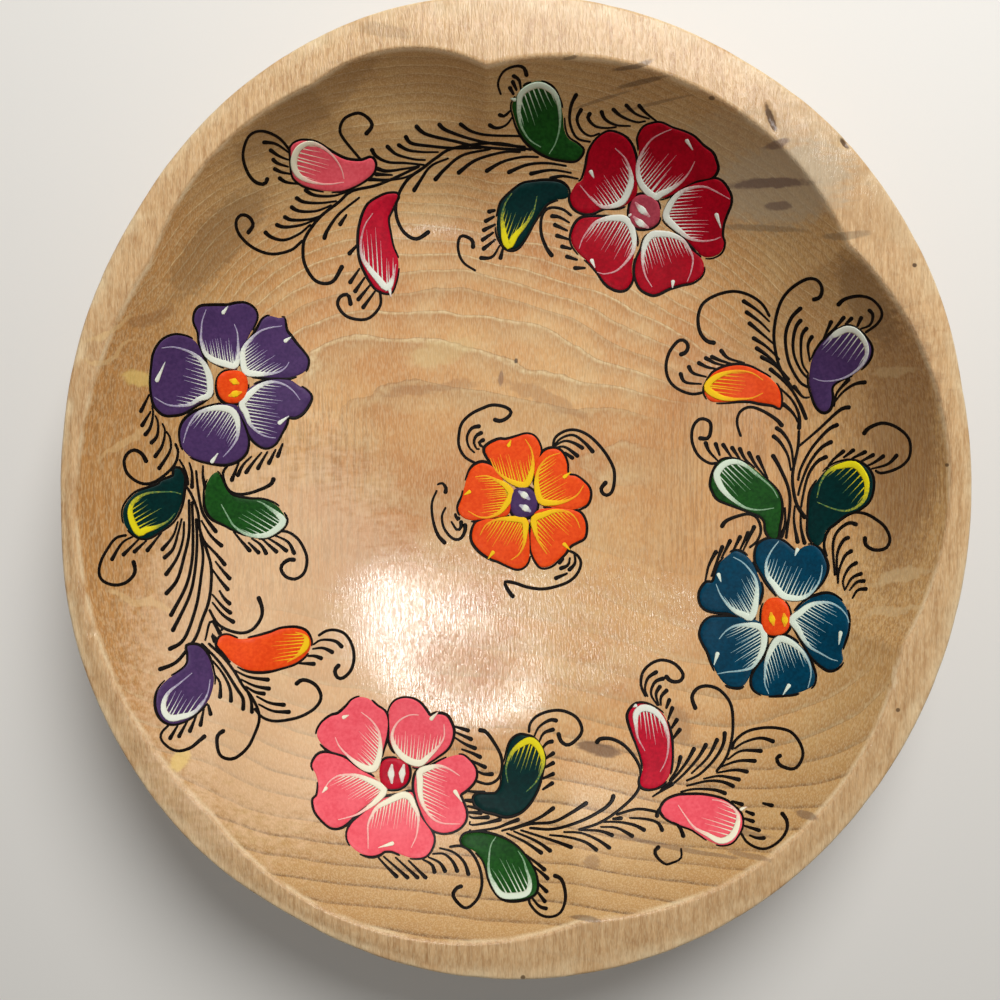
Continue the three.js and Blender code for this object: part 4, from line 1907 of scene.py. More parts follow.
PURPLE_PETALS = (
    Petal(
        "236,370 222,366 208,357 200,345 198,332 194,322 195,313 200,307 210,306 222,306 228,306 "
        "236,304 246,304 254,309 257,317 254,326 249,336 243,348 239,360",
        "206,309 202,321 201,332 201,342 205,353 213,360 *225,364 235,366 238,356 238,344 237,332 "
        "234,324",
        (-0.15, -0.99), 24, "222,314 228,306",
    ),
    Petal(
        "245,374 242,360 245,347 252,338 258,328 263,319 270,316 279,318 284,318 286,330 290,336 "
        "296,344 303,352 308,360 306,370 299,375 288,378 275,378 260,377",
        "282,326 269,328 259,332 249,341 243,351 243,362 *246,372 256,374 268,374 279,372 286,367 "
        "289,362",
        (0.8, -0.55), 26, "284,342 291,337",
    ),
    Petal(
        "240,398 249,388 262,382 275,379 290,380 298,385 306,390 311,397 308,405 302,413 295,417 "
        "288,417 286,424 281,434 275,444 266,448 257,444 250,436 245,424 238,410",
        "300,400 294,392 285,385 272,382 260,386 250,394 *242,404 246,413 250,424 259,433 268,437 "
        "276,438",
        (1.0, 0.15), 30, "278,424 289,416",
    ),
    Petal(
        "236,405 222,404 205,408 192,414 183,423 180,434 182,447 188,455 198,460 212,463 226,464 "
        "238,460 246,452 248,440 245,428 240,415",
        "183,443 186,432 190,423 197,414 206,410 218,408 *230,410 236,417 238,427 237,438 231,448 "
        "223,457",
        (-0.55, 0.83), 28, "211,463 218,453",
    ),
    Petal(
        "213,392 210,378 205,362 198,345 190,338 178,335 168,337 160,343 154,354 152,368 151,382 "
        "152,395 155,406 163,414 172,415 183,413 195,406 205,400",
        "161,348 173,347 185,350 195,355 203,363 208,373 *210,383 209,395 199,399 191,404 180,406 "
        "168,405 160,401 154,397",
        (-0.9, -0.25), 22, "156,382 161,371 165,362",
    ),
)

BLUE_PETALS = (
    Petal(
        "781,599 770,587 762,574 756,562 756,550 760,543 768,539 778,539 786,543 793,549 797,551 "
        "803,547 811,545 819,549 824,557 827,568 823,580 815,590 804,598 793,600",
        "779,541 772,550 767,560 766,568 768,577 775,586 *782,595 791,598 802,598 812,592 819,582 "
        "822,571 822,565",
        (0.4, -0.92), 26, "798,548 795,556",
    ),
    Petal(
        "757,612 760,600 762,588 758,575 752,562 744,554 735,551 727,556 720,563 716,572 713,582 "
        "706,583 700,592 700,602 705,609 715,612 728,613 738,617 750,622",
        "733,557 742,562 749,569 755,578 757,588 756,600 754,611 *750,618 744,615 735,611 727,604 "
        "720,594 716,584",
        (-0.5, -0.87), 28, "718,573 721,582",
    ),
    Petal(
        "760,622 748,618 735,617 720,617 710,618 703,624 700,634 703,643 708,652 711,661 716,672 "
        "724,683 733,687 743,686 749,678 752,670 758,663 764,655 767,642 765,630",
        "719,639 726,631 735,626 746,625 757,626 *763,631 764,641 762,651 757,661 751,668 739,671 "
        "728,672 717,674",
        (-0.85, 0.5), 30, "718,652 714,665",
    ),
    Petal(
        "777,637 770,648 765,658 757,668 752,678 753,688 760,694 768,696 780,695 784,695 794,694 "
        "806,690 813,685 815,676 812,666 808,655 800,645 789,637",
        "769,694 765,684 765,674 766,663 770,652 775,643 *780,639 788,641 797,647 804,654 810,665 "
        "811,676 808,688",
        (0.3, 0.95), 26, "790,684 783,695",
    ),
    Petal(
        "790,620 797,609 806,601 817,596 828,594 838,598 846,607 849,620 848,632 845,641 842,651 "
        "843,660 838,667 829,670 819,664 811,656 804,645 797,633",
        "849,623 847,616 840,608 830,603 819,603 809,606 800,613 *792,620 798,629 803,638 810,647 "
        "820,653 831,659 838,661",
        (0.85, 0.5), 28, "841,631 839,645",
    ),
)

PINK_PETALS = (
    Petal(
        "375,772 360,765 345,756 330,751 320,742 317,733 322,723 331,716 338,714 346,707 352,700 "
        "360,697 369,699 377,706 385,712 388,722 387,735 383,750 380,762",
        "361,712 371,720 378,730 380,740 380,751 377,763 *373,769 365,768 355,762 346,754 339,746 "
        "335,737",
        (-0.7, -0.7), 24, "342,718 349,715",
    ),
    Petal(
        "417,768 405,762 395,752 390,742 389,728 389,712 394,702 403,698 413,699 421,704 427,712 "
        "430,716 437,714 446,716 451,724 453,732 451,742 446,750 437,757 428,763",
        "419,715 410,715 400,720 394,728 392,737 395,747 402,756 *412,762 421,763 429,756 438,747 "
        "444,737 444,724",
        (0.1, -1.0), 24, "430,720 434,716 438,712",
    ),
    Petal(
        "417,772 428,768 440,761 452,756 462,755 469,760 475,768 476,776 473,783 466,790 460,795 "
        "463,803 466,812 465,821 458,829 446,833 435,831 427,824 421,812 416,798 414,785",
        "460,776 449,769 439,766 429,768 *420,772 420,781 420,792 422,802 426,810 432,818 441,823 "
        "451,824 460,824",
        (0.9, 0.4), 28, "454,790 462,802",
    ),
    Petal(
        "400,795 412,792 416,805 422,818 430,829 434,839 431,850 424,857 412,858 402,855 392,851 "
        "384,851 380,854 370,856 358,852 349,843 347,833 352,823 362,814 372,805 383,798",
        "368,849 368,837 368,825 372,815 378,807 389,801 *403,795 410,798 414,806 418,815 418,825 "
        "416,837 411,848",
        (-0.15, 0.99), 28, "394,843 378,848",
    ),
    Petal(
        "388,790 383,785 372,776 358,768 346,759 337,755 326,753 318,755 312,765 316,775 318,783 "
        "317,795 313,800 315,811 322,820 331,827 340,827 348,822 355,815 366,806 378,797",
        "323,791 329,782 338,776 349,775 358,776 368,780 378,785 *384,791 376,801 366,809 356,815 "
        "346,818 338,820",
        (-0.85, 0.5), 28, "327,787 322,793",
    ),
)

ORANGE_PETALS = (
    Petal(
        "530,484 515,483 502,476 494,466 487,456 485,449 490,444 499,440 506,440 516,437 526,434 "
        "534,436 539,443 541,452 538,461 535,472",
        "490,458 495,469 502,476 512,482 *525,485 531,474 533,461 531,449 525,439",
        (-0.25, -0.97), 24, "508,447 511,440",
    ),
    Petal(
        "541,505 535,492 534,478 535,466 540,456 547,450 556,449 563,454 567,464 568,474 576,476 "
        "583,481 589,488 590,496 587,504 580,508 572,510 558,508",
        "560,453 549,457 541,465 537,476 537,489 *541,501 553,503 566,501 577,495 584,485",
        (0.85, -0.5), 26, "563,478 571,472",
    ),
    Petal(
        "535,512 546,508 558,508 570,509 580,513 585,521 586,530 584,538 577,542 570,546 565,553 "
        "558,560 550,566 541,567 535,560 531,550 530,538 531,525",
        "580,528 576,519 568,512 555,511 543,515 *534,519 535,530 539,542 547,554",
        (0.7, 0.7), 26, "563,543 570,550",
    ),
    Petal(
        "528,520 515,518 500,518 486,519 476,523 472,533 473,542 480,551 490,558 498,561 506,565 "
        "517,569 525,566 529,558 530,545 529,532",
        "480,535 486,525 496,520 508,519 *524,521 525,534 524,544 519,554 511,560",
        (-0.5, 0.87), 26, "494,551 488,559",
    ),
    Petal(
        "511,503 506,493 503,480 497,470 490,465 481,463 472,468 467,478 464,488 462,497 458,508 "
        "461,516 469,520 480,520 495,518 508,515",
        "475,477 486,476 496,480 506,486 *511,494 507,503 500,512 490,517 479,517 468,511",
        (-0.97, 0.1), 26, "471,491 464,495",
    ),
)

FLOWERS = (
    Flower(
        "red_flower", CRIMSON, WHITE_ON_CRIMSON, (629, 660, 195, 229), ROSE, WHITE_ON_CRIMSON,
        ("635,202 641,209 650,217", "633,216 640,223 649,228", "629,214 631,216"), RED_PETALS,
    ),
    Flower(
        "purple_flower", VIOLET, WHITE_ON_VIOLET, (217, 248, 370, 403), ORANGE, YELLOW,
        ("229,380 235,382 239,384", "228,396 235,394 242,392"), PURPLE_PETALS,
    ),
    Flower(
        "blue_flower", TEAL, WHITE_ON_TEAL, (761, 790, 598, 636), ORANGE, YELLOW,
        ("771,612 772,619 774,626", "784,613 785,620 785,627"), BLUE_PETALS,
    ),
    Flower(
        "pink_flower", CORAL, WHITE_ON_CORAL, (379, 409, 758, 789), LIT_CRIMSON, WHITE,
        ("392,764 391,774 392,784", "404,764 402,774 402,783"), PINK_PETALS,
    ),
    Flower(
        "orange_flower", ORANGE, YELLOW, (510, 537, 487, 518), VIOLET, WHITE_ON_VIOLET,
        ("518,491 524,495 530,500", "519,505 525,508 531,512"), ORANGE_PETALS,
    ),
)

LEAVES = (
    Leaf(
        "top_green_leaf", GREEN, WHITE_ON_GREEN,
        "512,105 517,95 523,87 530,83 539,81 548,84 555,91 560,102 563,116 564,128 568,138 577,144 583,150 "
        "580,157 574,161 562,160 549,157 536,150 525,140 518,128 514,116",
        "549,154 555,144 559,131 560,116 558,101 552,91 541,85 *530,87 521,94 519,104 519,116 522,128 "
        "530,140 541,147",
        (0.35, 0.94), 34, "516,100 510,98",
    ),
    Leaf(
        "top_dark_leaf", DARK_GREEN, YELLOW_ON_GREEN,
        "502,201 512,191 522,184 533,182 547,181 561,183 568,190 567,198 556,200 547,204 540,213 533,224 "
        "527,235 518,247 509,249 502,243 497,232 497,219 499,209",
        "512,193 505,204 502,216 503,228 505,240 *509,246 516,235 525,225 533,213 537,196",
        (0.35, -0.94), 26,
    ),
    Leaf(
        "top_pink_bud", CORAL, WHITE_ON_CORAL,
        "291,159 291,147 299,141 310,141 319,144 328,150 338,156 348,160 361,161 371,158 375,164 373,173 "
        "364,181 353,187 341,191 325,191 311,188 301,184 293,176",
        "344,179 341,168 333,156 322,147 310,143 299,148 *294,159 295,170 302,178 316,183 330,184 344,182",
        (0.95, 0.25), 32,
    ),
    Leaf(
        "top_red_bud", LIT_CRIMSON, WHITE_ON_CRIMSON,
        "398,195 388,194 378,198 368,205 362,218 359,233 359,248 361,261 365,271 371,282 378,290 390,293 "
        "395,284 398,271 398,259 393,247 390,233 388,219 393,207",
        "373,213 365,225 361,241 362,256 368,267 378,279 *387,288 393,278 396,264",
        (-0.05, -1.0), 40, "389,286 391,297",
    ),
    Leaf(
        "left_dark_leaf", DARK_GREEN, YELLOW_ON_GREEN,
        "174,469 180,469 184,476 184,484 183,495 181,505 177,515 170,524 159,532 149,538 139,538 130,532 "
        "124,523 123,511 127,502 136,493 149,488 159,484 161,481 173,476",
        "181,494 173,492 161,492 149,493 139,497 132,504 130,513 133,524 *139,533 146,530 156,527 168,521 "
        "175,513",
        (0.85, -0.5), 26,
    ),
    Leaf(
        "left_green_leaf", GREEN, WHITE_ON_GREEN,
        "217,472 220,476 223,482 227,490 234,496 249,499 264,500 276,505 283,513 286,521 280,530 270,536 "
        "258,538 246,535 234,530 223,524 212,518 206,508 205,496 206,486 211,476",
        "221,504 227,515 234,526 246,534 260,536 271,533 *283,522 276,513 264,504 257,501",
        (-0.85, -0.5), 32,
    ),
    Leaf(
        "left_orange_bud", ORANGE, YELLOW,
        "220,637 228,635 240,639 255,637 270,633 281,629 295,628 305,631 310,638 311,645 307,654 296,663 "
        "281,668 267,671 252,671 242,668 231,661 223,652 217,645",
        "295,632 305,636 *306,645 297,656 287,662",
        (-1.0, 0.1), 30,
    ),
    Leaf(
        "left_purple_bud", VIOLET, WHITE_ON_VIOLET,
        "187,646 196,645 203,649 209,658 212,668 214,680 212,691 208,701 199,711 187,720 174,724 164,721 "
        "158,713 156,701 159,689 168,679 180,671 187,664 188,654",
        "192,673 180,683 169,692 164,701 164,711 *170,718 181,717 193,713 202,704 208,692 210,679",
        (0.5, -0.87), 28,
    ),
    Leaf(
        "right_orange_bud", ORANGE, YELLOW,
        "704,390 707,382 713,373 725,367 738,365 750,367 760,372 770,378 778,387 781,397 780,408 773,405 "
        "760,403 750,401 738,401 727,402 713,402 707,398",
        "763,380 752,373 738,371 723,374 712,380 *707,388 715,395 727,399 740,399 752,398 763,393",
        (1.0, 0.1), 30,
    ),
    Leaf(
        "right_purple_bud", VIOLET, WHITE_ON_VIOLET,
        "849,326 858,330 865,337 871,347 870,357 863,367 852,375 840,380 832,387 832,398 830,408 824,412 "
        "817,407 812,395 809,382 810,368 813,357 820,345 830,335 840,329",
        "813,378 823,381 837,380 850,375 862,365 867,353 865,342 857,332 848,329 *840,332 830,338 823,345",
        (-0.6, 0.8), 30,
    ),
    Leaf(
        "right_green_leaf", GREEN, WHITE_ON_GREEN,
        "711,484 714,471 721,461 732,459 745,463 757,471 768,481 777,491 781,502 781,515 779,527 777,538 "
        "771,538 766,531 765,522 760,516 748,511 732,505 718,499 713,491",
        "774,508 760,510 746,508 732,499 723,490 718,481 *717,473 725,464 737,462 749,468 761,478 772,488 "
        "778,498",
        (0.7, 0.7), 32,
    ),
    Leaf(
        "right_dark_leaf", DARK_GREEN, YELLOW_ON_GREEN,
        "809,502 811,491 817,481 826,470 838,463 852,461 865,466 872,476 873,488 869,501 858,510 846,515 "
        "834,524 826,531 823,541 818,546 812,542 808,533 808,518",
        "817,498 821,482 829,471 841,466 *855,465 864,475 867,485 865,498 857,507 845,511 831,508 817,502",
        (-0.7, 0.7), 26,
    ),
    Leaf(
        "bottom_dark_leaf", DARK_GREEN, YELLOW_ON_GREEN,
        "520,735 527,736 533,738 539,745 544,755 544,763 542,773 539,785 534,796 527,806 518,813 506,816 "
        "494,813 482,810 475,804 474,797 479,794 488,794 496,793 501,785 502,773 505,761 509,746 513,739",
        "508,783 506,770 509,758 515,749 525,742 *532,741 539,748 543,759 542,769 536,782 526,792",
        (-0.3, 0.95), 28,
    ),
    Leaf(
        "bottom_green_leaf", GREEN, WHITE_ON_GREEN,
        "461,841 464,835 471,833 482,833 496,836 508,841 518,848 526,857 532,866 536,876 537,888 533,895 "
        "523,899 510,900 501,897 494,889 489,879 486,868 482,859 474,851 465,847",
        "496,837 491,845 489,858 489,872 494,885 502,895 *515,896 527,893 530,883 527,871 523,859 518,851",
        (-0.45, -0.9), 32,
    ),
    Leaf(
        "bottom_red_bud", LIT_CRIMSON, WHITE_ON_CRIMSON,
        "628,717 631,709 637,704 646,704 655,708 663,714 668,725 671,738 672,754 671,768 668,778 660,786 "
        "649,789 641,786 640,778 643,768 641,757 637,745 632,732",
        "645,751 638,738 636,726 636,714 *643,708 654,711 663,721 668,735 668,751 665,763 660,772",
        (0.15, 1.0), 32, "637,705 633,707",
    ),
    Leaf(
        "bottom_pink_bud", CORAL, WHITE_ON_CORAL,
        "661,809 666,801 677,796 689,795 701,795 714,797 726,801 735,808 741,815 742,825 738,835 731,843 "
        "720,845 709,841 700,835 691,829 680,825 669,820 663,815",
        "678,805 686,817 695,828 708,835 720,841 *731,837 737,826 738,815 731,806 720,801 712,800",
        (-0.9, -0.3), 30, "740,810 747,807",
    ),
)


@dataclass(frozen=True)
class Spray:
    """Black liner scrolls and feathered combs of one part of the garland, one stroke a line."""

    name: str
    head_first: str
    head_last: str

    def build(self, ground: Ground) -> bpy.types.Object:
        """Paints the spray on the wood.

        Args:
            ground: The wood that it lies on.

        Returns:
            The strokes' object.
        """
        work = BrushWork(ground, self.name, BLACK)
        work.liner(self.head_first, head_last=False)
        work.liner(self.head_last, head_last=True)
        return work.build()


SPRAYS = (
    Spray(
        "top_spray",
        """
415,125 426,134 454,141 482,147 526,150
438,123 446,130 471,139 496,144 526,147
459,123 471,131 488,135 521,136
405,135 411,143 430,146 453,148 482,148
397,144 408,150 423,152 439,152
386,145 396,154 413,159 426,160
371,148 376,156 388,162 406,163 425,165
376,168 386,171 403,169 420,166
374,174 393,175
367,179 385,180 403,178 413,174
304,189 314,195 332,196 349,191
295,197 304,202 320,203 337,201
290,206 299,211 316,211 332,205
283,216 292,220 311,219 325,214
275,224 284,227 301,225 317,219
264,231 271,237 284,240 299,234 311,224
262,142 276,144 291,154
269,149 279,156 289,160
272,158 277,163 289,167
273,168 281,172 291,174
278,177 286,182 299,184
512,75 519,80 521,90
512,80 517,91
509,86 514,95
498,114 504,116 511,110
488,124 496,128 506,125 513,116
577,93 571,106 570,123 577,138 591,142
582,108 577,119 582,131 591,136 600,133
591,112 588,118 595,126 606,128 617,127
601,110 605,119 616,125 631,126
612,108 621,116 636,122 646,121
625,104 636,114 650,119
638,104 646,113 659,123
""",
        """
361,160 343,138 340,128 345,118 358,113 368,118 372,126 365,135
532,150 496,143 454,148 436,158 423,168 408,179 398,196 396,214 403,231 416,239 430,231
491,149 463,155 446,168 434,181
521,152 504,152 476,160 457,174
539,157 522,157 502,162 485,172
567,166 546,163 526,165 507,173
572,173 551,170 529,174
579,179 562,176 549,179
449,158 431,166 420,181 413,192
420,166 380,184 352,191 339,202 320,217 306,236 303,249 305,265 316,281 332,282 343,265
303,240 291,250 271,254 252,247 239,234 236,222 241,215 249,217 253,225 247,234
360,197 339,214 327,231 324,240
347,214 339,226
292,153 279,138 262,131 249,136 243,153 246,169 254,181 264,184 268,177
360,242 348,255
360,268 349,284
365,277 354,293
371,284 357,301
376,290 362,309
380,290 380,306 367,319 348,317 338,306 340,297 348,295 351,306
501,95 498,83 504,71 516,66 524,68 527,77
572,216 562,209 549,208 542,216 541,232 546,247 553,257
570,223 559,217 550,216
568,231 553,224
571,240 555,235
572,249 560,246
578,260 565,256
586,268 573,268
496,210 487,212
495,216 484,222
496,224 482,231
494,232 481,241
496,239 482,250
500,245 492,257 479,258
503,248 500,260
476,271 463,262 458,248 461,236 472,240 473,249
""",
    ),
    Spray(
        "left_spray",
        """
222,629
""",
        """
149.5,394 140,413
151,411 141,427
152,405 153,415 150,428 144,436
155,415 158,423 157,436 150,444
162,423 165,431 162,446 154,458
166,431 170,438 170,451 158,470
175,443 178,452 175,464 167,473 156,481 146,484 136,481 127,473 124,462 127,454 134,450 142,454 147,463
179,459 184,468 187,479 187,486
189,462 192,473 192,489
203,465 203,477 206,490
196,470 198,489 201,507 205,517 217,533
178,521 173,536 161,551
182,518 178,533 173,549 163,559
184,521 183,539 177,558 165,576
189,499 189,533 184,557 177,580 165,595
192,501 193,533 192,560 186,586 170,617
196,518 197,542 195,570 189,597 172,632
200,533 203,555 201,577 196,607 184,639 168,650
186,486 192,496 198,513 200,530 206,548 211,566 211,586 208,604 202,620 196,637 186,651 175,663 158,670
201,520 211,536 223,547
200,530 205,542 217,555 226,566
215,561 223,571 231,580
212,569 220,580 229,591
219,590 224,598 231,605
212,594 223,607 232,614
212,602 223,615 235,623
209,609 217,623 228,630 242,633 253,629 261,618 262,608 258,596
205,641 211,621 221,635
214,643 212,634 218,643
208,643 223,657 234,671 243,686 251,696 258,710 259,721 255,733 248,747 237,757 228,759 220,755 217,744 \
218,735 225,730
214,674 220,683 220,699
212,660 223,674 230,689 231,703
201,643 220,663 237,689 243,699 243,711
246,689 251,701 252,714
234,670 249,677 270,680
240,679 255,686 271,689
245,686 255,692 266,694
256,696 270,703 286,705
258,704 273,711 291,712
254,708 262,717 273,721 287,720 302,716 315,708 321,698 318,688 311,682 302,680 295,685
169,725 162,732 161,739 168,747 178,751 190,748 199,741 206,735
178,725 169,740
188,720 178,738
197,714 189,733
204,708 200,727
208,704 211,716
318,636 326,631 335,630 345,634 352,645 354,658 351,670 343,678 337,677 335,670 340,664
313,645 321,640 335,641 343,648
312,649 323,648 334,653
307,656 315,656 323,659
296,663 316,664
127,535 116,538 108,548 101,561 99,573 103,581 114,585 125,583 133,576 135,569 133,560
134,536 122,543 111,561
139,539 122,556
147,540 133,553
162,532 146,552
277,531 288,532 298,539 305,551 307,561 304,573 295,579 285,576 281,567 288,560 296,560
274,535 288,542 295,555
268,538 279,545 288,552
261,538 270,546 278,553
251,538 261,545 267,555
248,542 260,554
233,531 243,543 251,552
239,462 231,482
252,456 243,465 237,477
262,452 252,464 245,474
268,451 262,461 257,470
276,449 268,465
283,443 277,458
228,465 223,473 226,486 233,493 245,494 259,490 271,484 274,477
""",
    ),
    Spray(
        "right_spray",
        """
742,300 757,310 770,322
745,311 760,322 770,332
748,322 760,332 775,345
752,337 767,347 780,360
755,347 770,358 790,380
760,356 777,367 793,388
769,368 783,380 795,395 806,420
782,403 793,413 801,428
802,307 792,317 786,332 786,348 790,365 800,382 810,388
802,319 796,327 793,343 795,358 802,372 809,379
808,327 802,335 801,352 803,365 808,373
813,335 808,345 810,362
837,306 845,299 860,296 873,300 882,312 878,323 865,333
868,309 873,315 870,325 860,329
832,320 823,340
845,316 835,328 825,337
853,317 845,325
862,316 857,327
867,382 855,384 843,392 834,403
850,378 837,393 834,407
680,372 685,382 702,384
688,365 693,373 707,377
697,362 707,367 717,369
704,357 715,363 727,366
710,356 722,361 735,365
720,349 728,358 745,363
851,407 840,410 818,430 798,447
839,424 828,430 812,448 801,468 798,481
833,441 821,448 809,464 801,484 798,496
828,456 817,462 808,476 803,496 801,508
772,435 780,442 788,456 791,471
775,427 783,433 791,447 794,471
772,454 780,468 788,487 790,505 786,539
757,455 763,468 768,479
748,451 755,464 766,478
705,441 709,451 718,461
715,442 720,456
722,443 732,458
731,446 741,461
739,447 745,459 755,468
863,435 869,428 883,423 898,428 909,439 910,455 903,465 891,471 880,473 875,470
898,454 888,464 871,469
885,455 875,462 865,467
875,454 860,462
867,451 851,459
855,449 843,458
845,450 832,461 826,470
858,525 849,523 838,531 833,545 835,576
850,537 843,541 837,556 838,584
853,550 845,556 839,571 838,584
858,562 849,568 843,581 845,591
863,573 852,578 845,590
866,581 857,582 849,591
868,589 858,590 852,599
721,528 726,521 738,516 749,514 757,518 761,530 757,541 749,548
755,525 743,551
749,531 740,550
741,535 731,555
731,539 721,559
723,545 711,577
717,550 709,565 705,582
""",
        """
770,317 763,305 753,297 740,292 727,292 712,297 702,305 698,318 700,332 707,341 716,343
807,420 802,407 792,390 780,368 775,348 774,332 777,313 783,298 793,287 807,279 817,280 822,288 820,297 \
812,300
810,397 803,397 793,385
705,392 692,394 678,389 669,380 666,367 669,353 677,342 683,340 688,345 686,352 679,355
741,437 737,423 740,412 750,407 763,411 777,420 783,427
780,388 792,400 799,415 799,430
799,430 798,447 793,471 793,487 797,505 806,519
795,505 794,521 798,544
801,508 801,527 805,545
785,507 785,524 781,538
718,463 709,463 698,455 692,441 693,427 700,419 709,421 711,428 708,438 698,438
827,557 824,545 828,531 840,519 851,513 863,513 874,518 885,527 890,539 886,548 875,550 866,545 865,536
""",
    ),
    Spray(
        "bottom_spray",
        """
478,730 486,732 495,744 501,756 502,768 498,779 488,784 476,781
553,875 561,879 565,890 565,902 560,913 550,917 539,914 530,904 529,897
658,671 648,678 645,689 648,697
665,678 655,682 651,694 658,706
661,685 656,694 659,706
668,689 661,697 661,706
670,698 666,709
673,706 668,720
678,718 671,729
681,728 672,740
""",
        """
453,726 470,731
455,732 473,740
454,737 465,744 477,749
461,749 472,753 482,758
470,760 487,768
475,770 484,774 494,774
467,791 486,793
464,800 473,801
467,806 482,809
463,812 483,813
469,816 474,818 490,817
470,821 471,825 486,823 502,819
470,831
475,831 496,828 509,823 520,819
501,831 519,826 539,818 555,807
510,830 530,824 553,822 571,813 588,802
529,828 554,829 581,821 602,810 611,802 614,794
506,833 525,842 543,854
513,831 536,841 552,852
520,830 539,836 560,843 573,848
549,835 567,837 585,842 598,851
563,832 581,833 598,840 611,849
578,830 600,831 614,836
600,827 617,828 634,837
600,822 618,822 634,825 646,831
612,819 623,818
578,830 599,823 619,810 637,792 641,775 637,761 625,746 612,739 600,739 596,744
629,818 646,819 658,823 663,832
616,815 628,811 640,809 657,812 671,818 680,828 684,838
681,848 681,858 672,863 665,864 657,857 655,851 660,846
666,801 658,811 657,818
652,797 674,783
669,781 677,769 681,755
660,791 674,778 686,763 695,747
668,788 683,775 698,758 707,743
691,774 708,757 718,738
686,781 700,774 714,760 723,745 725,731
716,772 726,758 731,743 733,726 731,705 721,691 709,686 698,688 692,697 696,710
732,750 735,741 746,732 761,728 777,728 791,732 800,743 803,755 798,766 791,769 780,765 777,758 782,755
734,749 745,742 761,738 775,742
727,760 741,751 763,751
718,768 738,761 757,761
716,773 735,770 749,772
703,779 720,776 741,780
686,786 708,781 723,782 735,787
680,792 695,789 715,790 727,794
646,697 641,685 643,672 652,663 663,660 675,664 683,674 680,681 671,681 665,675
529,733 530,724 537,716 550,711 564,711 577,718 582,730 577,739 568,745 561,741 558,732
534,737 539,727 550,720 558,721
539,742 544,733 555,729
542,749 547,743 554,741
545,759 555,752
544,768 555,762
542,779 555,773
542,790 554,782
525,854 539,865 546,871
532,865 544,875 549,880
537,882 548,893
536,890 546,903
530,895 539,906 548,909
376,855 385,865 398,878
383,856 409,879
395,857 419,879
408,860 427,879
422,859 432,865 435,874
428,857 440,863 446,873
432,854 444,854 453,862 458,873
439,848 453,852 464,862 469,876
449,847 461,846 471,852 479,866 482,882 479,896 472,905 465,908 458,903 453,895 457,888 463,886
731,801 744,805
745,811 755,815
743,818 755,822
742,825 761,831
749,835 757,838 766,838
741,833 748,843 763,849 777,843 786,832 787,821 781,812
762,803 774,806
""",
    ),
    Spray(
        "middle_spray",
        """
481,426 472,428 467,437 469,447 475,453
483,432 476,436 474,443 477,449 480,449
485,439 479,443 483,447 486,445
""",
        """
477,464 465,457 459,446 459,434 462,423 471,414 483,408 492,405 502,406 509,409 511,413 507,418 500,421 \
493,419
553,449 555,438 565,431 576,430 588,435 599,445 608,457 614,470 614,484 611,493 605,495 601,489 607,481
553,448 560,439 573,435 585,443 594,453
553,447 564,441 574,443 584,449
554,448 565,447 579,457
564,452 574,459
437,490 432,503 433,520 438,535 446,544
446,507 442,516 444,528 452,538 460,539 465,531 465,523
451,521 457,530 461,527 461,520
455,513 457,519 460,517
437,485 442,483 446,488 445,494
568,550 577,555 581,563 577,574 568,582 554,587 541,589 527,587 515,583 505,582 508,590 514,598
574,552 575,563 568,571
570,557 568,565 559,569
564,558 558,564
568,573 554,579
""",
    ),
)


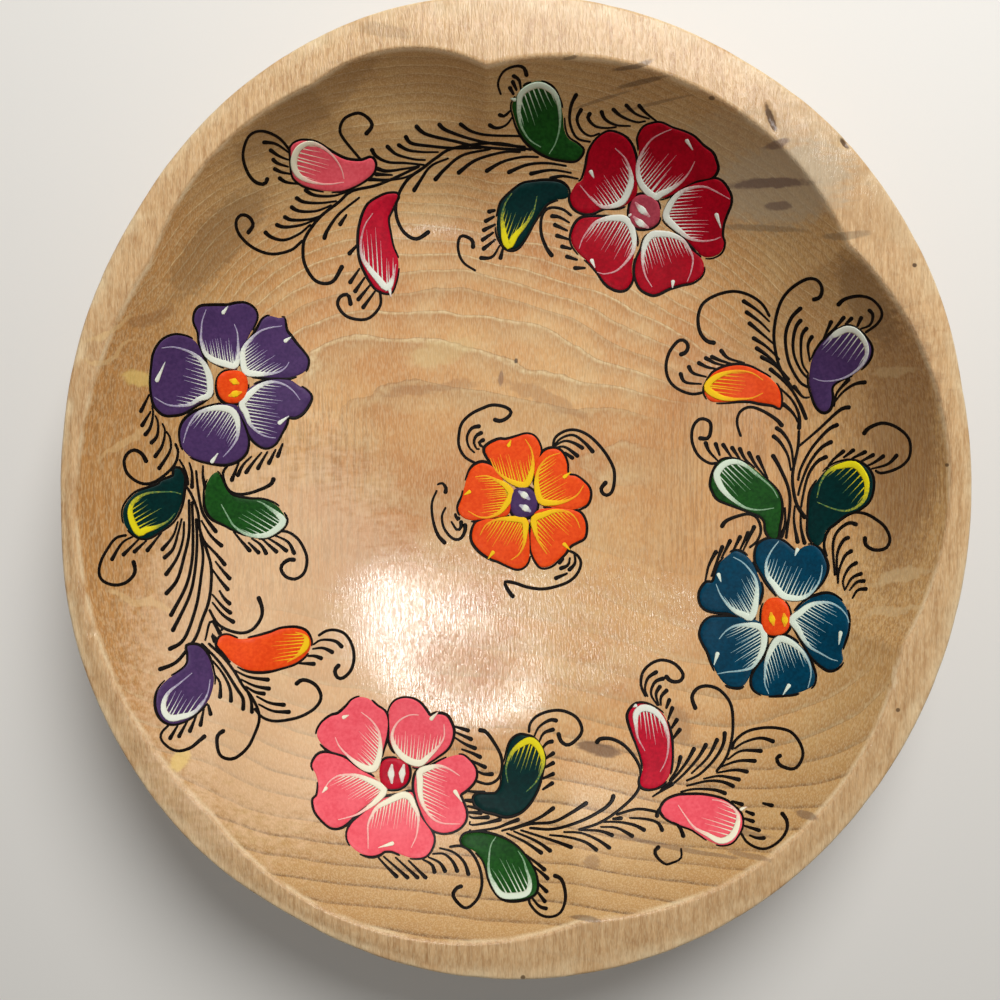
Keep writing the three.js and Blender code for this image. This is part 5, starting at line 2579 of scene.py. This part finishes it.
@dataclass(frozen=True)
class Studio:
    """A pale floor under soft light: an even sky, a round lamp overhead and a wide one at the upper right."""

    floor_colour: str = "#E6E3DD"
    floor_roughness: float = 0.9
    floor_gloss: float = 0.1
    floor_reach: float = 3.0
    floor_sides: int = 96
    floor_gap: float = 0.0002
    sky_colour: str = "#F4F2EE"
    sky: float = 0.13
    fade: Pair = (0.35, 1.3)
    lamp_at: Triple = (-0.09, -0.16, 1.0)
    lamp_size: float = 0.06
    lamp_watts: float = 1.2
    fill_at: Triple = (0.24, 0.82, 1.00)
    fill_size: float = 0.70
    fill_watts: float = 16.5

    def lamp(self, name: str, at: Triple, size: float, watts: float) -> None:
        """Adds a round area lamp aimed at the bowl.

        Args:
            name: The lamp's name.
            at: Where it hangs.
            size: Its diameter.
            watts: Its power.
        """
        data = bpy.data.lights.new(name, "AREA")
        data.shape, data.size, data.energy = "DISK", size, watts
        lamp = linked(name, data)
        lamp.location = at
        lamp.rotation_euler = Vector(at).to_track_quat("Z", "Y").to_euler()

    def paper(self) -> bpy.types.Material:
        """Makes the floor's material: pale paper that fades into the sky far from the bowl.

        The fade is a glow that only the camera sees, so it lights nothing and the shadow stays.

        Returns:
            The material.
        """
        made, graph, shader = new_material("pale_paper")
        shader.inputs["Base Color"].default_value = linear(self.floor_colour)
        shader.inputs["Roughness"].default_value = self.floor_roughness
        shader.inputs["Specular IOR Level"].default_value = self.floor_gloss
        place = graph.add(PLACE, out="Object")
        far = graph.add(VECTOR_MATH, place, **LENGTH)
        far = graph.add(MAP_RANGE, far, *self.fade, 0.0, 1.0, **EASED)
        seen = graph.add("ShaderNodeLightPath", out="Is Camera Ray")
        far = graph.add(MATH, far, seen, **TIMES)
        glow = graph.add("ShaderNodeEmission", linear(self.sky_colour))
        both = graph.add("ShaderNodeMixShader", far, shader.outputs[0], glow)
        graph.tree.links.new(both, graph.tree.nodes["Material Output"].inputs["Surface"])
        return made

    def build(self) -> None:
        """Adds the floor, the sky and the lamps."""
        mesh = bpy.data.meshes.new("floor")
        turns = np.arange(self.floor_sides) / self.floor_sides * 2 * math.pi
        reach = self.floor_reach
        edge = [(reach * math.cos(turn), reach * math.sin(turn), -self.floor_gap) for turn in turns]
        mesh.from_pydata(edge, [], [tuple(range(len(edge)))])
        mesh.materials.append(self.paper())
        linked("floor", mesh)

        # The camera sees a white sky. It lights the bowl only faintly, and the varnish mirrors that
        # faint sky, because a bright one would veil the painting. There is no metal or glass here.
        world = bpy.data.worlds.new("sky")
        world.use_nodes = True
        graph = Graph(world.node_tree)
        back = world.node_tree.nodes["Background"]
        back.inputs["Color"].default_value = linear(self.sky_colour)
        seen = graph.add("ShaderNodeLightPath", out="Is Camera Ray")
        strength = graph.add(MAP_RANGE, seen, 0.0, 1.0, self.sky, 1.0)
        graph.tree.links.new(strength, back.inputs["Strength"])
        bpy.context.scene.world = world
        self.lamp("overhead_lamp", self.lamp_at, self.lamp_size, self.lamp_watts)
        self.lamp("window_lamp", self.fill_at, self.fill_size, self.fill_watts)


def main() -> None:
    """Builds the bowl, paints it and lights it."""
    logging.basicConfig(level=logging.INFO, format="%(message)s")
    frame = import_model()
    log.info("frame: %d nodes", len(frame["nodes"]))

    bpy.context.scene.view_settings.view_transform = "Standard"
    view, hollow = View(), Hollow()
    view.camera()
    Studio().build()

    wood = VarnishedWood(hollow, view).material()
    bowl = Bowl(hollow, view).build(wood)
    log.info("%s: %d faces", bowl.name, len(bowl.data.polygons))

    ground = Ground(hollow, view)
    dice = np.random.default_rng(BRUSH_SEED)
    lines = BrushWork(ground, "outline_strokes", BLACK)
    for motif in (*FLOWERS, *LEAVES):
        for piece in motif.build(ground, lines, dice):
            log.info("%s: %d faces", piece.name, len(piece.data.polygons))
    for piece in (lines.build(), *(spray.build(ground) for spray in SPRAYS)):
        log.info("%s: %d faces", piece.name, len(piece.data.polygons))


if __name__ == "__main__":
    main()
